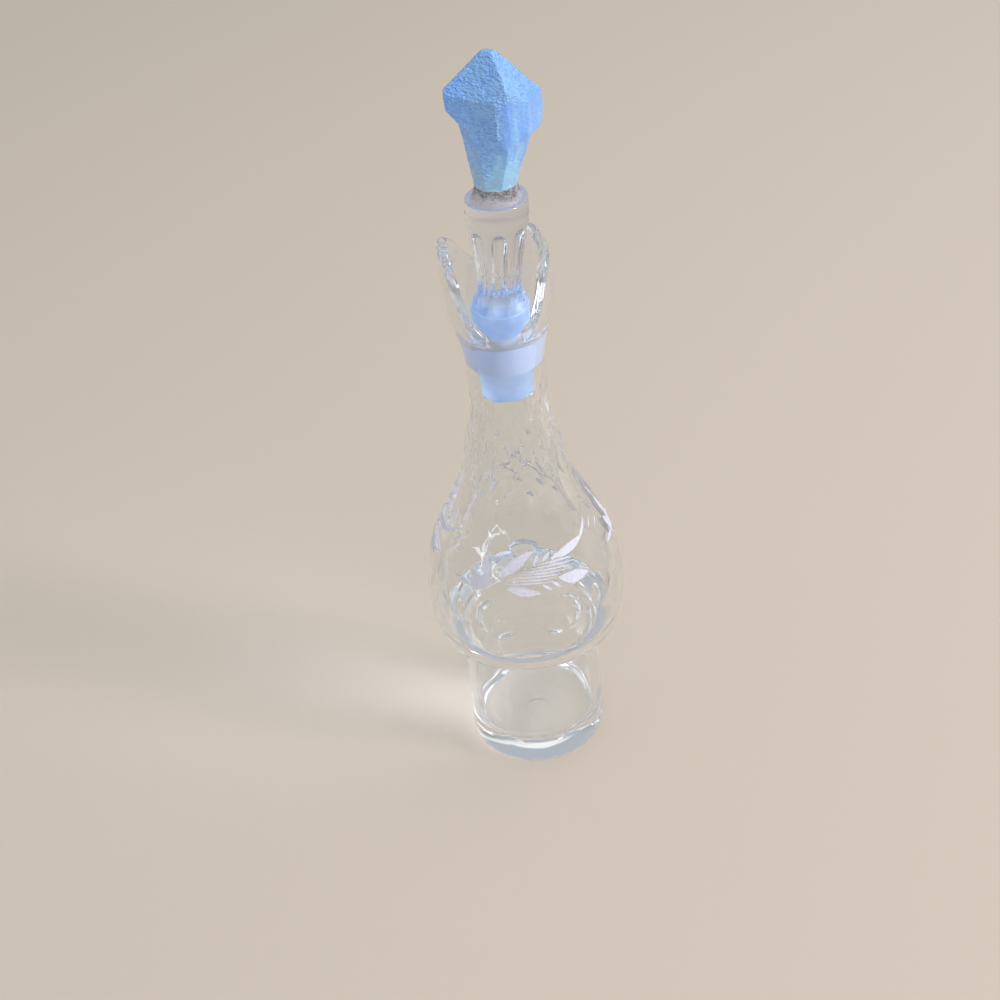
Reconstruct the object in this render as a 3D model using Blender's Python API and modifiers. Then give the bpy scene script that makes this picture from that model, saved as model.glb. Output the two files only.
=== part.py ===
"""Glass table carafe with a ground-in stopper, in metres, standing on z = 0.

The bottle is one blown wall: a straight foot, a ledge under a round bulb, a neck cut
with staggered scales, a ground seat and a mouth with two ears between two scooped dips.
The stopper is one solid of glass: tapered plug, fluted shank, flange and faceted knob.
The view in which the deeper dip faces is along +Y, so that dip is at the -Y side.
"""

import math

import bmesh
import bpy
from mathutils import Vector

COLLECTION_NAME = "carafe_with_stopper"
CUTTER_COLLECTION_NAME = "carafe_cutters"

# Foot and ledge of the bottle
FOOT_RADIUS = 0.0191
FOOT_HEIGHT = 0.0430
HEEL_ROUNDING = 0.0013
PONTIL_RADIUS = 0.0045
PONTIL_DEPTH = 0.0008
FLOOR_THICKNESS = 0.0060
FLOOR_CORNER = 0.0045
LEDGE_RISE = 0.0020
LEDGE_ROUNDING = 0.0012

# Bulb and neck
BULB_RADIUS = 0.0265
BULB_HEIGHT = 0.0730
BODY_WALL = 0.0026
NECK_WALL = 0.0030
NECK_HEIGHT = 0.0110

# Ground seat and plug
SEAT_START = 0.0110
SEAT_LENGTH = 0.0080
SEAT_GAP = 0.0003
PLUG_TAIL = 0.0083
PLUG_LENGTH = 0.0235
PLUG_END_RADIUS = 0.00635
PLUG_TOP_RADIUS = 0.00705
PLUG_ROUNDING = 0.0012

# Mouth, from the top of the straight neck to the crest of the taller ear
MOUTH_RADIUS = 0.0134
MOUTH_HEIGHT = 0.0338
DIP_DEPTH = 0.0222
LIP_THICKNESS = 0.0026
SPOUT_PINCH = 0.0010
SPOUT_PINCH_RISE = 0.0080

# Cuts in the glass of the bottle
SCALES_PER_ROW = 8
SCALE_DEPTH = 0.0007
PUNTY_COUNT = 10
PUNTY_RADIUS = 0.0062
PUNTY_DEPTH = 0.0006
PUNTY_HEIGHT = 0.0200

# Stopper above its plug
SHOULDER_HEIGHT = 0.0048
WAIST_RADIUS = 0.0054
SHANK_HEIGHT = 0.0185
FLANGE_RADIUS = 0.0073
FLANGE_THICKNESS = 0.0050
FLANGE_EDGE = 0.0004
COLLAR_RADIUS = 0.0050
COLLAR_HEIGHT = 0.0048
COLLAR_FILLET = 0.0010
FLUTE_COUNT = 8
FLUTE_DEPTH = 0.0006
FLUTE_WHEEL_RADIUS = 0.0036
FLUTE_TOP_RUNOUT = 0.0035
FLUTE_END_RUNOUT = 0.0025
FLUTE_TOP_MARGIN = 0.0012

# Knob of the stopper
KNOB_HALF_WIDTH = 0.0100
KNOB_TAPER_HEIGHT = 0.0130
KNOB_GIRDLE_HEIGHT = 0.0090
KNOB_CROWN_HEIGHT = 0.0085
KNOB_TIP_HALF_WIDTH = 0.0014
KNOB_NECK_DISTANCE = 0.0046
KNOB_TAPER_DISTANCE = 0.0079
KNOB_SINK = 0.0012

# Angles
STOPPER_LEAN = math.radians(3.0)
FRONT = math.radians(270.0)
SPOUT_AZIMUTH = math.radians(12.0)
SPOUT_HALF_WIDTH = math.radians(62.0)

# Outline of bulb and shoulder: share of BULB_HEIGHT, share of the way from neck to bulb radius
BULB_SHARES = (
    (0.027, 0.940), (0.089, 0.988), (0.167, 1.000), (0.271, 0.970), (0.375, 0.864),
    (0.479, 0.664), (0.584, 0.440), (0.688, 0.276), (0.792, 0.180), (0.896, 0.091),
    (1.000, 0.000),
)

# Outline of the mouth: share of MOUTH_HEIGHT, share of the way from neck to mouth radius
MOUTH_SHARES = (
    (0.000, 0.000), (0.120, 0.100), (0.254, 0.370), (0.358, 0.620), (0.448, 0.790),
    (0.567, 0.920), (0.687, 0.974), (1.000, 1.000),
)

# Crest of the rim: azimuth in degrees, share of DIP_DEPTH above the front dip
RIM_SHARES = (
    (0, 0.84), (22, 0.86), (42, 0.90), (53, 0.81), (63, 0.50), (75, 0.345), (95, 0.35),
    (125, 0.53), (150, 0.83), (172, 0.985), (192, 1.00), (204, 0.87), (216, 0.53),
    (233, 0.17), (255, 0.02), (280, 0.00), (300, 0.08), (314, 0.27), (323, 0.52),
    (332, 0.74), (345, 0.82),
)

# Rows of scales down the neck: centre and half length as shares of BULB_HEIGHT,
# depth as a share of SCALE_DEPTH, turn as a share of the step between scales
SCALE_ROW_SHARES = (
    (1.000, 0.080, 0.80, 0.5),
    (0.914, 0.105, 1.00, 0.0),
    (0.795, 0.125, 1.20, 0.5),
    (0.655, 0.145, 1.50, 0.0),
)

# Sides of the knob's girdle, ground by hand and so uneven: azimuth in degrees, share of
# KNOB_HALF_WIDTH, share of the girdle height at which the sloping underside starts
KNOB_SIDE_SHARES = (
    (4, 1.09, 0.06), (61, 0.66, 0.26), (118, 1.02, 0.45), (151, 1.00, 0.48), (184, 1.02, 0.62),
    (241, 0.66, 0.26), (273, 0.78, 0.10), (298, 0.82, 0.04), (331, 0.92, 0.00),
)

# Four facets of the crown: azimuth in degrees, share of KNOB_HALF_WIDTH, share of the girdle
# height by which the facet reaches below the girdle's top, share of KNOB_TIP_HALF_WIDTH
KNOB_CROWN_SHARES = (
    (61, 0.66, 0.30, 0.60), (151, 1.00, 0.04, 1.00), (241, 0.66, 0.00, 0.60), (331, 0.92, 0.16, 1.00),
)

# Flat sides of the taper under the girdle: azimuth in degrees, share of KNOB_TAPER_DISTANCE
KNOB_TAPER_SHARES = (
    (350, 1.08), (35, 1.08), (80, 0.98), (125, 0.90), (170, 0.86), (215, 0.88), (260, 0.96),
    (305, 1.06),
)

# How finely the round forms are stepped
BOTTLE_STEPS = 64
STOPPER_STEPS = 48
ROUNDING_STEPS = 3
LIP_STEPS = 4
BULB_ROWS = 10
SCALE_ROWS = 20
MOUTH_ROWS = 7
CUP_ROWS = 5
SHANK_ROWS = 9
MERGE_DISTANCE = 0.00001

# Heights and radii that follow from the sizes above
NECK_START = FOOT_HEIGHT + BULB_HEIGHT
MOUTH_BASE = NECK_START + NECK_HEIGHT
CREST_HEIGHT = MOUTH_BASE + MOUTH_HEIGHT
DIP_HEIGHT = CREST_HEIGHT - DIP_DEPTH
SEAT_BOTTOM = NECK_START + SEAT_START
SEAT_TOP = SEAT_BOTTOM + SEAT_LENGTH
PLUG_END = SEAT_BOTTOM - PLUG_TAIL
PLUG_TOP = PLUG_END + PLUG_LENGTH
NECK_RADIUS = PLUG_END_RADIUS + SEAT_GAP + NECK_WALL
LIP_RADIUS = LIP_THICKNESS / 2
RIM_TOP = CREST_HEIGHT - LIP_RADIUS
WAIST_HEIGHT = PLUG_TOP + SHOULDER_HEIGHT
FLANGE_BASE = WAIST_HEIGHT + SHANK_HEIGHT
FLANGE_TOP = FLANGE_BASE + FLANGE_THICKNESS
COLLAR_TOP = FLANGE_TOP + COLLAR_HEIGHT
GIRDLE_BASE = COLLAR_TOP + KNOB_TAPER_HEIGHT - KNOB_SINK
GIRDLE_TOP = GIRDLE_BASE + KNOB_GIRDLE_HEIGHT
KNOB_TOP = GIRDLE_TOP + KNOB_CROWN_HEIGHT


def mix(start, end, share):
    return start + (end - start) * share


def smoothstep(value):
    value = min(max(value, 0.0), 1.0)
    return value * value * (3.0 - 2.0 * value)


def smooth_value(points, position):
    """Height at a position of a smooth curve through points that are sorted by position."""
    if position <= points[0][0]:
        return points[0][1]
    if position >= points[-1][0]:
        return points[-1][1]
    index = max(i for i, point in enumerate(points) if point[0] <= position)
    index = min(index, len(points) - 2)
    before = points[max(index - 1, 0)]
    start = points[index]
    end = points[index + 1]
    after = points[min(index + 2, len(points) - 1)]
    span = end[0] - start[0]
    start_slope = (end[1] - before[1]) / (end[0] - before[0])
    end_slope = (after[1] - start[1]) / (after[0] - start[0])
    t = (position - start[0]) / span
    return (
        start[1] * (1 + 2 * t) * (1 - t) ** 2
        + span * start_slope * t * (1 - t) ** 2
        + end[1] * t * t * (3 - 2 * t)
        + span * end_slope * t * t * (t - 1)
    )


def arc(centre_radius, centre_height, radius, start_degrees, end_degrees, steps):
    """Points of a rounding in the radius-height plane, both ends included."""
    points = []
    for step in range(steps + 1):
        angle = math.radians(mix(start_degrees, end_degrees, step / steps))
        points.append((centre_radius + radius * math.cos(angle),
                       centre_height + radius * math.sin(angle)))
    return points


def angle_between(azimuth, other):
    """Smallest signed angle from one azimuth to another."""
    return (azimuth - other + math.pi) % math.tau - math.pi


def bulb_radius(height):
    """Outer radius of bulb, shoulder and neck before they are cut."""
    share = smooth_value(BULB_SHARES, (height - FOOT_HEIGHT) / BULB_HEIGHT)
    return mix(NECK_RADIUS, BULB_RADIUS, share)


def mouth_radius(height):
    """Outer radius of the flared mouth."""
    share = smooth_value(MOUTH_SHARES, (height - MOUTH_BASE) / MOUTH_HEIGHT)
    return mix(NECK_RADIUS, MOUTH_RADIUS, share)


def plug_radius(height):
    """Radius of the plug, which the seat in the neck is ground to."""
    return mix(PLUG_END_RADIUS, PLUG_TOP_RADIUS, (height - PLUG_END) / PLUG_LENGTH)


def cup_radius(height):
    """Inner radius of the mouth: a funnel from the seat up to an even wall."""
    seat = plug_radius(SEAT_TOP) + SEAT_GAP
    share = smoothstep((height - SEAT_TOP) / (DIP_HEIGHT - LIP_RADIUS - SEAT_TOP))
    return mix(seat, mouth_radius(height) - LIP_THICKNESS, share)


def rim_height(azimuth):
    """Height of the middle of the rounded lip at an azimuth."""
    degrees = math.degrees(azimuth) % 360
    before = RIM_SHARES[-2:]
    points = [(turn - 360, share) for turn, share in before]
    points += list(RIM_SHARES)
    points += [(turn + 360, share) for turn, share in RIM_SHARES[:2]]
    return DIP_HEIGHT - LIP_RADIUS + DIP_DEPTH * smooth_value(points, degrees)


def pinch(azimuth, height):
    """How far the spout ear leans in towards the axis."""
    offset = angle_between(azimuth, SPOUT_AZIMUTH) / SPOUT_HALF_WIDTH
    rise = (height - DIP_HEIGHT) / SPOUT_PINCH_RISE - 1.0
    return SPOUT_PINCH * smoothstep(1.0 - abs(offset)) * smoothstep(rise)


def around_axis(radius, azimuth, height):
    return Vector((radius * math.cos(azimuth), radius * math.sin(azimuth), height))


def lip_centre(azimuth):
    """Point in the middle of the rounded lip."""
    height = rim_height(azimuth)
    radius = mouth_radius(height) - LIP_RADIUS - pinch(azimuth, height)
    return around_axis(radius, azimuth, height)


RIM_SAMPLES = 720


def walk_rim():
    """Share of the way round the rim at even azimuths, counted from the front dip."""
    lengths = [0.0]
    last = lip_centre(FRONT)
    for sample in range(1, RIM_SAMPLES + 1):
        point = lip_centre(FRONT + math.tau * sample / RIM_SAMPLES)
        lengths.append(lengths[-1] + (point - last).length)
        last = point
    return lengths


RIM_WALK = walk_rim()


def rim_azimuth(azimuth):
    """Azimuth on the rim that a column of the wall leads to, evenly spaced along the rim."""
    turn = (azimuth - FRONT) % math.tau / math.tau
    half = RIM_SAMPLES // 2
    first = 0 if turn < 0.5 else half
    share = turn * 2 if turn < 0.5 else turn * 2 - 1
    target = mix(RIM_WALK[first], RIM_WALK[first + half], share)
    sample = first
    while RIM_WALK[sample + 1] < target:
        sample += 1
    step = (target - RIM_WALK[sample]) / (RIM_WALK[sample + 1] - RIM_WALK[sample])
    return FRONT + math.tau * (sample + step) / RIM_SAMPLES


def shape_lip(azimuth, angle):
    """Point of the rounded lip, at an angle from its outer side over to its inner side."""
    centre = lip_centre(azimuth)
    sample = math.tau / RIM_SAMPLES
    along = (lip_centre(azimuth + sample) - lip_centre(azimuth - sample)).normalized()
    outward = around_axis(1.0, azimuth, 0.0)
    upward = outward.cross(along).normalized()
    return centre + LIP_RADIUS * (math.cos(angle) * outward + math.sin(angle) * upward)


def shape_mouth(point):
    """Moves a point of the plain tubular mouth to the wall with two ears and two dips."""
    radius = math.hypot(point.x, point.y)
    azimuth = math.atan2(point.y, point.x)
    middle = MOUTH_RADIUS - LIP_RADIUS
    target = rim_azimuth(azimuth)
    if point.z > RIM_TOP - MERGE_DISTANCE:
        return shape_lip(target, math.atan2(point.z - RIM_TOP, radius - middle))
    outside = radius > middle
    base = MOUTH_BASE if outside else SEAT_TOP
    if point.z <= base + MERGE_DISTANCE:
        return point
    share = (point.z - base) / (RIM_TOP - base)
    turned = azimuth + angle_between(target, azimuth) * share * share
    height = mix(base, rim_height(target), share)
    wall = mouth_radius(height) if outside else cup_radius(height)
    return around_axis(wall - pinch(turned, height), turned, height)


def scale_cut(azimuth, height, radius):
    """Radius left by the staggered rows of scales, each hollowed along the neck only."""
    step = math.tau / SCALES_PER_ROW
    left = radius
    for centre_share, half_share, depth_share, turn_share in SCALE_ROW_SHARES:
        rise = (height - FOOT_HEIGHT - centre_share * BULB_HEIGHT) / (half_share * BULB_HEIGHT)
        if abs(rise) >= 1.0:
            continue
        turn = (azimuth - FRONT) / step - turn_share
        offset = (turn - round(turn)) * step
        depth = SCALE_DEPTH * depth_share * (1.0 - rise * rise)
        left = min(left, (radius - depth) / math.cos(offset))
    return left


def punty_cut(azimuth, height, radius):
    """Radius left by the row of round hollows low on the bulb."""
    step = math.tau / PUNTY_COUNT
    turn = (azimuth - FRONT) / step - 0.5
    across = (turn - round(turn)) * step * radius
    up = height - FOOT_HEIGHT - PUNTY_HEIGHT
    reach = (across * across + up * up) / (PUNTY_RADIUS * PUNTY_RADIUS)
    return radius - PUNTY_DEPTH * max(0.0, 1.0 - reach)


def cut_bottle(point):
    """Moves a point of the plain bulb and neck to the cut surface."""
    radius = math.hypot(point.x, point.y)
    on_outside = abs(radius - bulb_radius(point.z)) < MERGE_DISTANCE
    low = FOOT_HEIGHT + LEDGE_RISE + LEDGE_ROUNDING
    if not on_outside or not low < point.z < MOUTH_BASE:
        return point
    azimuth = math.atan2(point.y, point.x)
    radius = scale_cut(azimuth, point.z, radius)
    radius = punty_cut(azimuth, point.z, radius)
    return around_axis(radius, azimuth, point.z)


def inner_profile():
    """Inside of the bottle, from the middle of the floor up to the foot of the mouth."""
    foot = FOOT_RADIUS - BODY_WALL
    corner = arc(foot - FLOOR_CORNER, FLOOR_THICKNESS + FLOOR_CORNER, FLOOR_CORNER,
                 -90, 0, ROUNDING_STEPS)
    points = [(0.0, FLOOR_THICKNESS)] + corner
    points.append((foot, FOOT_HEIGHT - BODY_WALL))
    opening = (FOOT_HEIGHT, FOOT_HEIGHT + 3 * BODY_WALL)
    for share in (0.35, 0.7, 1.0):
        height = mix(opening[0], opening[1], share)
        points.append((mix(foot, bulb_radius(opening[1]) - BODY_WALL, math.sin(share * math.pi / 2)),
                       height))
    for row in range(1, BULB_ROWS):
        height = mix(opening[1], NECK_START, row / BULB_ROWS)
        wall = mix(BODY_WALL, NECK_WALL, row / BULB_ROWS)
        points.append((bulb_radius(height) - wall, height))
    seat_radius = plug_radius(SEAT_BOTTOM) + SEAT_GAP
    points.append((seat_radius, NECK_START))
    points.append((seat_radius, SEAT_BOTTOM))
    points.append((plug_radius(SEAT_TOP) + SEAT_GAP, SEAT_TOP))
    return points


def mouth_profile():
    """The mouth as a plain tube, up the inside, over the lip and down the outside."""
    middle = MOUTH_RADIUS - LIP_RADIUS
    points = []
    for row in range(1, CUP_ROWS):
        points.append((middle - LIP_RADIUS, mix(SEAT_TOP, RIM_TOP, row / CUP_ROWS)))
    points += arc(middle, RIM_TOP, LIP_RADIUS, 180, 0, LIP_STEPS)
    for row in range(1, MOUTH_ROWS):
        points.append((middle + LIP_RADIUS, mix(RIM_TOP, MOUTH_BASE, row / MOUTH_ROWS)))
    return points


def outer_profile():
    """Outside of the bottle, from the top of the neck down to the middle of the pontil."""
    scale_end = FOOT_HEIGHT + BULB_HEIGHT * (SCALE_ROW_SHARES[-1][0] - SCALE_ROW_SHARES[-1][1])
    scale_start = FOOT_HEIGHT + BULB_HEIGHT * (SCALE_ROW_SHARES[0][0] + SCALE_ROW_SHARES[0][1])
    low = FOOT_HEIGHT + LEDGE_RISE
    points = [(NECK_RADIUS, MOUTH_BASE)]
    for row in range(SCALE_ROWS + 1):
        height = mix(scale_start, scale_end, row / SCALE_ROWS)
        points.append((bulb_radius(height), height))
    for row in range(1, BULB_ROWS + 1):
        height = mix(scale_end, low + LEDGE_ROUNDING, row / BULB_ROWS)
        points.append((bulb_radius(height), height))
    edge = bulb_radius(low) - LEDGE_ROUNDING
    points += arc(edge, low, LEDGE_ROUNDING, 0, -80, ROUNDING_STEPS)
    points.append((FOOT_RADIUS, FOOT_HEIGHT))
    heel = FOOT_RADIUS - HEEL_ROUNDING
    points += arc(heel, HEEL_ROUNDING, HEEL_ROUNDING, 0, -90, ROUNDING_STEPS)
    points.append((PONTIL_RADIUS, 0.0))
    points.append((PONTIL_RADIUS / 2, PONTIL_DEPTH * 3 / 4))
    points.append((0.0, PONTIL_DEPTH))
    return points


def turn_profile(name, profile, steps):
    """Mesh of a profile that is turned once about the axis."""
    line = bpy.data.meshes.new(name + "_profile")
    vertices = [(radius, 0.0, height) for radius, height in profile]
    edges = [(index, index + 1) for index in range(len(profile) - 1)]
    line.from_pydata(vertices, edges, [])
    blank = bpy.data.objects.new(name + "_blank", line)
    bpy.context.scene.collection.objects.link(blank)
    screw = blank.modifiers.new("turn", 'SCREW')
    screw.axis = 'Z'
    screw.angle = math.tau
    screw.steps = steps
    screw.render_steps = steps
    screw.use_merge_vertices = True
    screw.merge_threshold = MERGE_DISTANCE
    bpy.context.view_layer.update()
    evaluated = blank.evaluated_get(bpy.context.evaluated_depsgraph_get())
    mesh = bpy.data.meshes.new_from_object(evaluated)
    bpy.data.objects.remove(blank)
    bpy.data.meshes.remove(line)
    mesh.name = name
    return mesh


def glass_material(name, colour, roughness):
    material = bpy.data.materials.new(name)
    material.use_nodes = True
    shader = material.node_tree.nodes["Principled BSDF"]
    shader.inputs["Base Color"].default_value = colour
    shader.inputs["Roughness"].default_value = roughness
    shader.inputs["Metallic"].default_value = 0.0
    shader.inputs["Transmission Weight"].default_value = 1.0
    shader.inputs["IOR"].default_value = 1.52
    material.diffuse_color = colour
    return material


def add_part(collection, name, mesh, material, smooth_degrees):
    mesh.materials.clear()
    mesh.materials.append(material)
    mesh.shade_smooth()
    mesh.set_sharp_from_angle(angle=math.radians(smooth_degrees))
    part = bpy.data.objects.new(name, mesh)
    collection.objects.link(part)
    return part


def make_bottle(collection):
    profile = inner_profile() + mouth_profile() + outer_profile()
    mesh = turn_profile("bottle", profile, BOTTLE_STEPS)
    for vertex in mesh.vertices:
        vertex.co = cut_bottle(shape_mouth(vertex.co))
    material = glass_material("bottle_glass", (0.90, 0.93, 0.95, 1.0), 0.03)
    return add_part(collection, "bottle", mesh, material, 50)


def lean(point):
    """Moves a point of the stopper sideways: the shank stands at a slant on its plug."""
    rise = min(max(point.z - PLUG_TOP, 0.0), GIRDLE_BASE - PLUG_TOP)
    return Vector((point.x + rise * math.tan(STOPPER_LEAN), point.y, point.z))


def shank_radius(height):
    """Radius of the shank, which widens from its waist up to the flange."""
    share = (height - WAIST_HEIGHT) / SHANK_HEIGHT
    return mix(WAIST_RADIUS, FLANGE_RADIUS, share ** 1.4)


def flute_cut(point):
    """Moves a point of the round shank to the hollow of its nearest flute."""
    top = FLANGE_BASE - FLUTE_TOP_MARGIN
    end = WAIST_HEIGHT
    if not end - FLUTE_END_RUNOUT < point.z < top:
        return point
    radius = math.hypot(point.x, point.y)
    step = math.tau / FLUTE_COUNT
    azimuth = math.atan2(point.y, point.x)
    turn = (azimuth - FRONT) / step
    offset = (turn - round(turn)) * step
    run = max((point.z - top + FLUTE_TOP_RUNOUT) / FLUTE_TOP_RUNOUT,
              (end - point.z) / FLUTE_END_RUNOUT, 0.0)
    depth = FLUTE_DEPTH * (1.0 - run * run)
    centre = radius - depth + FLUTE_WHEEL_RADIUS
    sideways = centre * math.sin(offset)
    if abs(sideways) >= FLUTE_WHEEL_RADIUS:
        return point
    hollow = centre * math.cos(offset) - math.sqrt(FLUTE_WHEEL_RADIUS ** 2 - sideways ** 2)
    return around_axis(min(radius, hollow), azimuth, point.z)


def shank_profile():
    """Stopper from the top of its collar down to the rounded end of the plug."""
    points = [(0.0, COLLAR_TOP), (COLLAR_RADIUS, COLLAR_TOP)]
    points.append((COLLAR_RADIUS, FLANGE_TOP + COLLAR_FILLET))
    points.append((COLLAR_RADIUS + COLLAR_FILLET, FLANGE_TOP))
    points.append((FLANGE_RADIUS - FLANGE_EDGE, FLANGE_TOP))
    points.append((FLANGE_RADIUS, FLANGE_TOP - FLANGE_EDGE))
    for row in range(SHANK_ROWS + 1):
        height = mix(FLANGE_BASE, WAIST_HEIGHT, row / SHANK_ROWS)
        points.append((shank_radius(height), height))
    points.append((mix(WAIST_RADIUS, PLUG_TOP_RADIUS, 0.15), mix(WAIST_HEIGHT, PLUG_TOP, 0.45)))
    points.append((PLUG_TOP_RADIUS - FLANGE_EDGE, PLUG_TOP + FLANGE_EDGE))
    points.append((PLUG_TOP_RADIUS, PLUG_TOP))
    rounding_height = PLUG_END + PLUG_ROUNDING
    points += arc(plug_radius(rounding_height) - PLUG_ROUNDING, rounding_height,
                  PLUG_ROUNDING, 0, -90, ROUNDING_STEPS)
    points.append((0.0, PLUG_END))
    return points


def side_planes():
    """Point and outward direction of each upright side of the knob's girdle."""
    planes = []
    for degrees, share, foot_share in KNOB_SIDE_SHARES:
        azimuth = math.radians(degrees)
        foot = mix(GIRDLE_BASE, GIRDLE_TOP, foot_share)
        planes.append((around_axis(KNOB_HALF_WIDTH * share, azimuth, foot),
                       around_axis(1.0, azimuth, 0.0)))
    return planes


def underside_planes():
    """Facets that slope in at 45 degrees from the foot of each side."""
    down = Vector((0.0, 0.0, -1.0))
    return [(place, outward + down) for place, outward in side_planes()]


def crown_planes():
    """Facets that rise from the girdle to the blunt tip."""
    planes = []
    for degrees, share, drop_share, tip_share in KNOB_CROWN_SHARES:
        azimuth = math.radians(degrees)
        distance = KNOB_HALF_WIDTH * share
        top = mix(GIRDLE_TOP, GIRDLE_BASE, drop_share)
        inward = distance - KNOB_TIP_HALF_WIDTH * tip_share
        planes.append((around_axis(distance, azimuth, top),
                       around_axis(KNOB_TOP - top, azimuth, inward)))
    return planes


def taper_planes():
    """Flat sides that widen from the collar up to the underside of the girdle."""
    low = COLLAR_TOP - KNOB_SINK
    planes = []
    for degrees, share in KNOB_TAPER_SHARES:
        azimuth = math.radians(degrees)
        inward = KNOB_NECK_DISTANCE - KNOB_TAPER_DISTANCE * share
        planes.append((around_axis(KNOB_NECK_DISTANCE, azimuth, low),
                       around_axis(GIRDLE_BASE - low, azimuth, inward)))
    return planes


def ground_block(collection, name, low, high, planes):
    """A drum of glass between two heights that is ground flat along every plane."""
    drum = bmesh.new()
    bmesh.ops.create_cone(drum, cap_ends=True, segments=STOPPER_STEPS,
                          radius1=KNOB_HALF_WIDTH * 2, radius2=KNOB_HALF_WIDTH * 2,
                          depth=high - low)
    bmesh.ops.translate(drum, verts=drum.verts, vec=(0.0, 0.0, (low + high) / 2))
    for place, direction in planes:
        everything = drum.verts[:] + drum.edges[:] + drum.faces[:]
        cut = bmesh.ops.bisect_plane(drum, geom=everything, plane_co=place,
                                     plane_no=direction.normalized(), clear_outer=True)
        rim = [part for part in cut["geom_cut"] if isinstance(part, bmesh.types.BMEdge)]
        if rim:
            bmesh.ops.contextual_create(drum, geom=rim)
    bmesh.ops.recalc_face_normals(drum, faces=drum.faces)
    for vertex in drum.verts:
        vertex.co = lean(vertex.co)
    mesh = bpy.data.meshes.new(name)
    drum.to_mesh(mesh)
    drum.free()
    block = bpy.data.objects.new(name, mesh)
    block.display_type = 'WIRE'
    block.hide_render = True
    collection.objects.link(block)
    return block


def make_stopper(collection, cutters):
    mesh = turn_profile("stopper", shank_profile(), STOPPER_STEPS)
    for vertex in mesh.vertices:
        vertex.co = lean(flute_cut(vertex.co))
    material = glass_material("stopper_glass", (0.80, 0.87, 0.97, 1.0), 0.25)
    stopper = add_part(collection, "stopper", mesh, material, 25)
    blocks = (
        ground_block(cutters, "knob_taper", COLLAR_TOP - KNOB_SINK, (GIRDLE_BASE + GIRDLE_TOP) / 2,
                     taper_planes() + side_planes()),
        ground_block(cutters, "knob_head", COLLAR_TOP, KNOB_TOP,
                     side_planes() + underside_planes() + crown_planes()),
    )
    for block in blocks:
        union = stopper.modifiers.new(block.name, 'BOOLEAN')
        union.operation = 'UNION'
        union.solver = 'EXACT'
        union.object = block
    return stopper


def main():
    for item in list(bpy.data.objects):
        bpy.data.objects.remove(item, do_unlink=True)
    parts = bpy.data.collections.new(COLLECTION_NAME)
    cutters = bpy.data.collections.new(CUTTER_COLLECTION_NAME)
    bpy.context.scene.collection.children.link(parts)
    bpy.context.scene.collection.children.link(cutters)
    make_bottle(parts)
    make_stopper(parts, cutters)


main()
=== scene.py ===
"""Looks of a clear glass carafe with a ground-in stopper: a bottle that was blown, cut with
scales and round hollows and engraved with fern sprays, and a solid stopper with a frosted plug,
a fluted shank and a hand-ground knob. Lengths are in metres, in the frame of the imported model."""

import math
from functools import partial

import bmesh
import bpy
from bpy.props import FloatProperty, FloatVectorProperty, IntProperty, PointerProperty
from mathutils import Matrix, Vector, noise


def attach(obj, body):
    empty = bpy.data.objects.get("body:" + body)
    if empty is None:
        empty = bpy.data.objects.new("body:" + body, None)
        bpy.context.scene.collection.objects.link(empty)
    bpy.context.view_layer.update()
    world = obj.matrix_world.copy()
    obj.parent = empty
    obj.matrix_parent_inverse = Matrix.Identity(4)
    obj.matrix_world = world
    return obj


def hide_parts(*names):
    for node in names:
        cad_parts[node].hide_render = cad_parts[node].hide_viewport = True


bl_info = {
    "name": "Glass carafe with stopper",
    "version": (1, 0, 0),
    "blender": (4, 5, 0),
    "location": "3D View > Sidebar > Carafe",
    "description": "Builds a cut and engraved glass carafe with its ground stopper",
    "category": "Add Mesh",
}

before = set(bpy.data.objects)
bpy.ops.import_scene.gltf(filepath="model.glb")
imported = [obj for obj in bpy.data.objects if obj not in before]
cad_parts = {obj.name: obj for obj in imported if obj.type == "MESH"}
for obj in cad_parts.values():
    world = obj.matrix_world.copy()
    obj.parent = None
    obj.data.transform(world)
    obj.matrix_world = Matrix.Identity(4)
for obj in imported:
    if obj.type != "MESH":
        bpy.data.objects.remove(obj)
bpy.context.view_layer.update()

# Foot and ledge of the bottle
FOOT_RADIUS = 0.0191
FOOT_HEIGHT = 0.0430
HEEL_ROUNDING = 0.0013
PONTIL_RADIUS = 0.0045
PONTIL_DEPTH = 0.0008
FLOOR_THICKNESS = 0.0060
FLOOR_CORNER = 0.0045
LEDGE_RISE = 0.0020
LEDGE_ROUNDING = 0.0012

# Bulb and neck
BULB_RADIUS = 0.0265
BULB_HEIGHT = 0.0730
BODY_WALL = 0.0026
NECK_WALL = 0.0030
NECK_HEIGHT = 0.0110

# Ground seat and plug
SEAT_START = 0.0110
SEAT_LENGTH = 0.0080
SEAT_GAP = 0.0003
GROUND_DROP = 0.0010
GROUND_FADE = 0.0022
PLUG_TAIL = 0.0083
PLUG_LENGTH = 0.0235
PLUG_END_RADIUS = 0.00635
PLUG_TOP_RADIUS = 0.00705
PLUG_ROUNDING = 0.0012

# Mouth, from the top of the straight neck to the crest of the taller ear
MOUTH_RADIUS = 0.0134
MOUTH_HEIGHT = 0.0338
DIP_DEPTH = 0.0222
LIP_THICKNESS = 0.0026
SPOUT_PINCH = 0.0010
SPOUT_PINCH_RISE = 0.0080

# Cuts in the glass of the bottle
SCALES_PER_ROW = 8
SCALE_DEPTH = 0.0007
SCALE_BLEND = 0.00006
PUNTY_COUNT = 10
PUNTY_RADIUS = 0.0062
PUNTY_DEPTH = 0.0006
PUNTY_HEIGHT = 0.0200
PUNTY_ROWS_END = 0.0560

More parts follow.
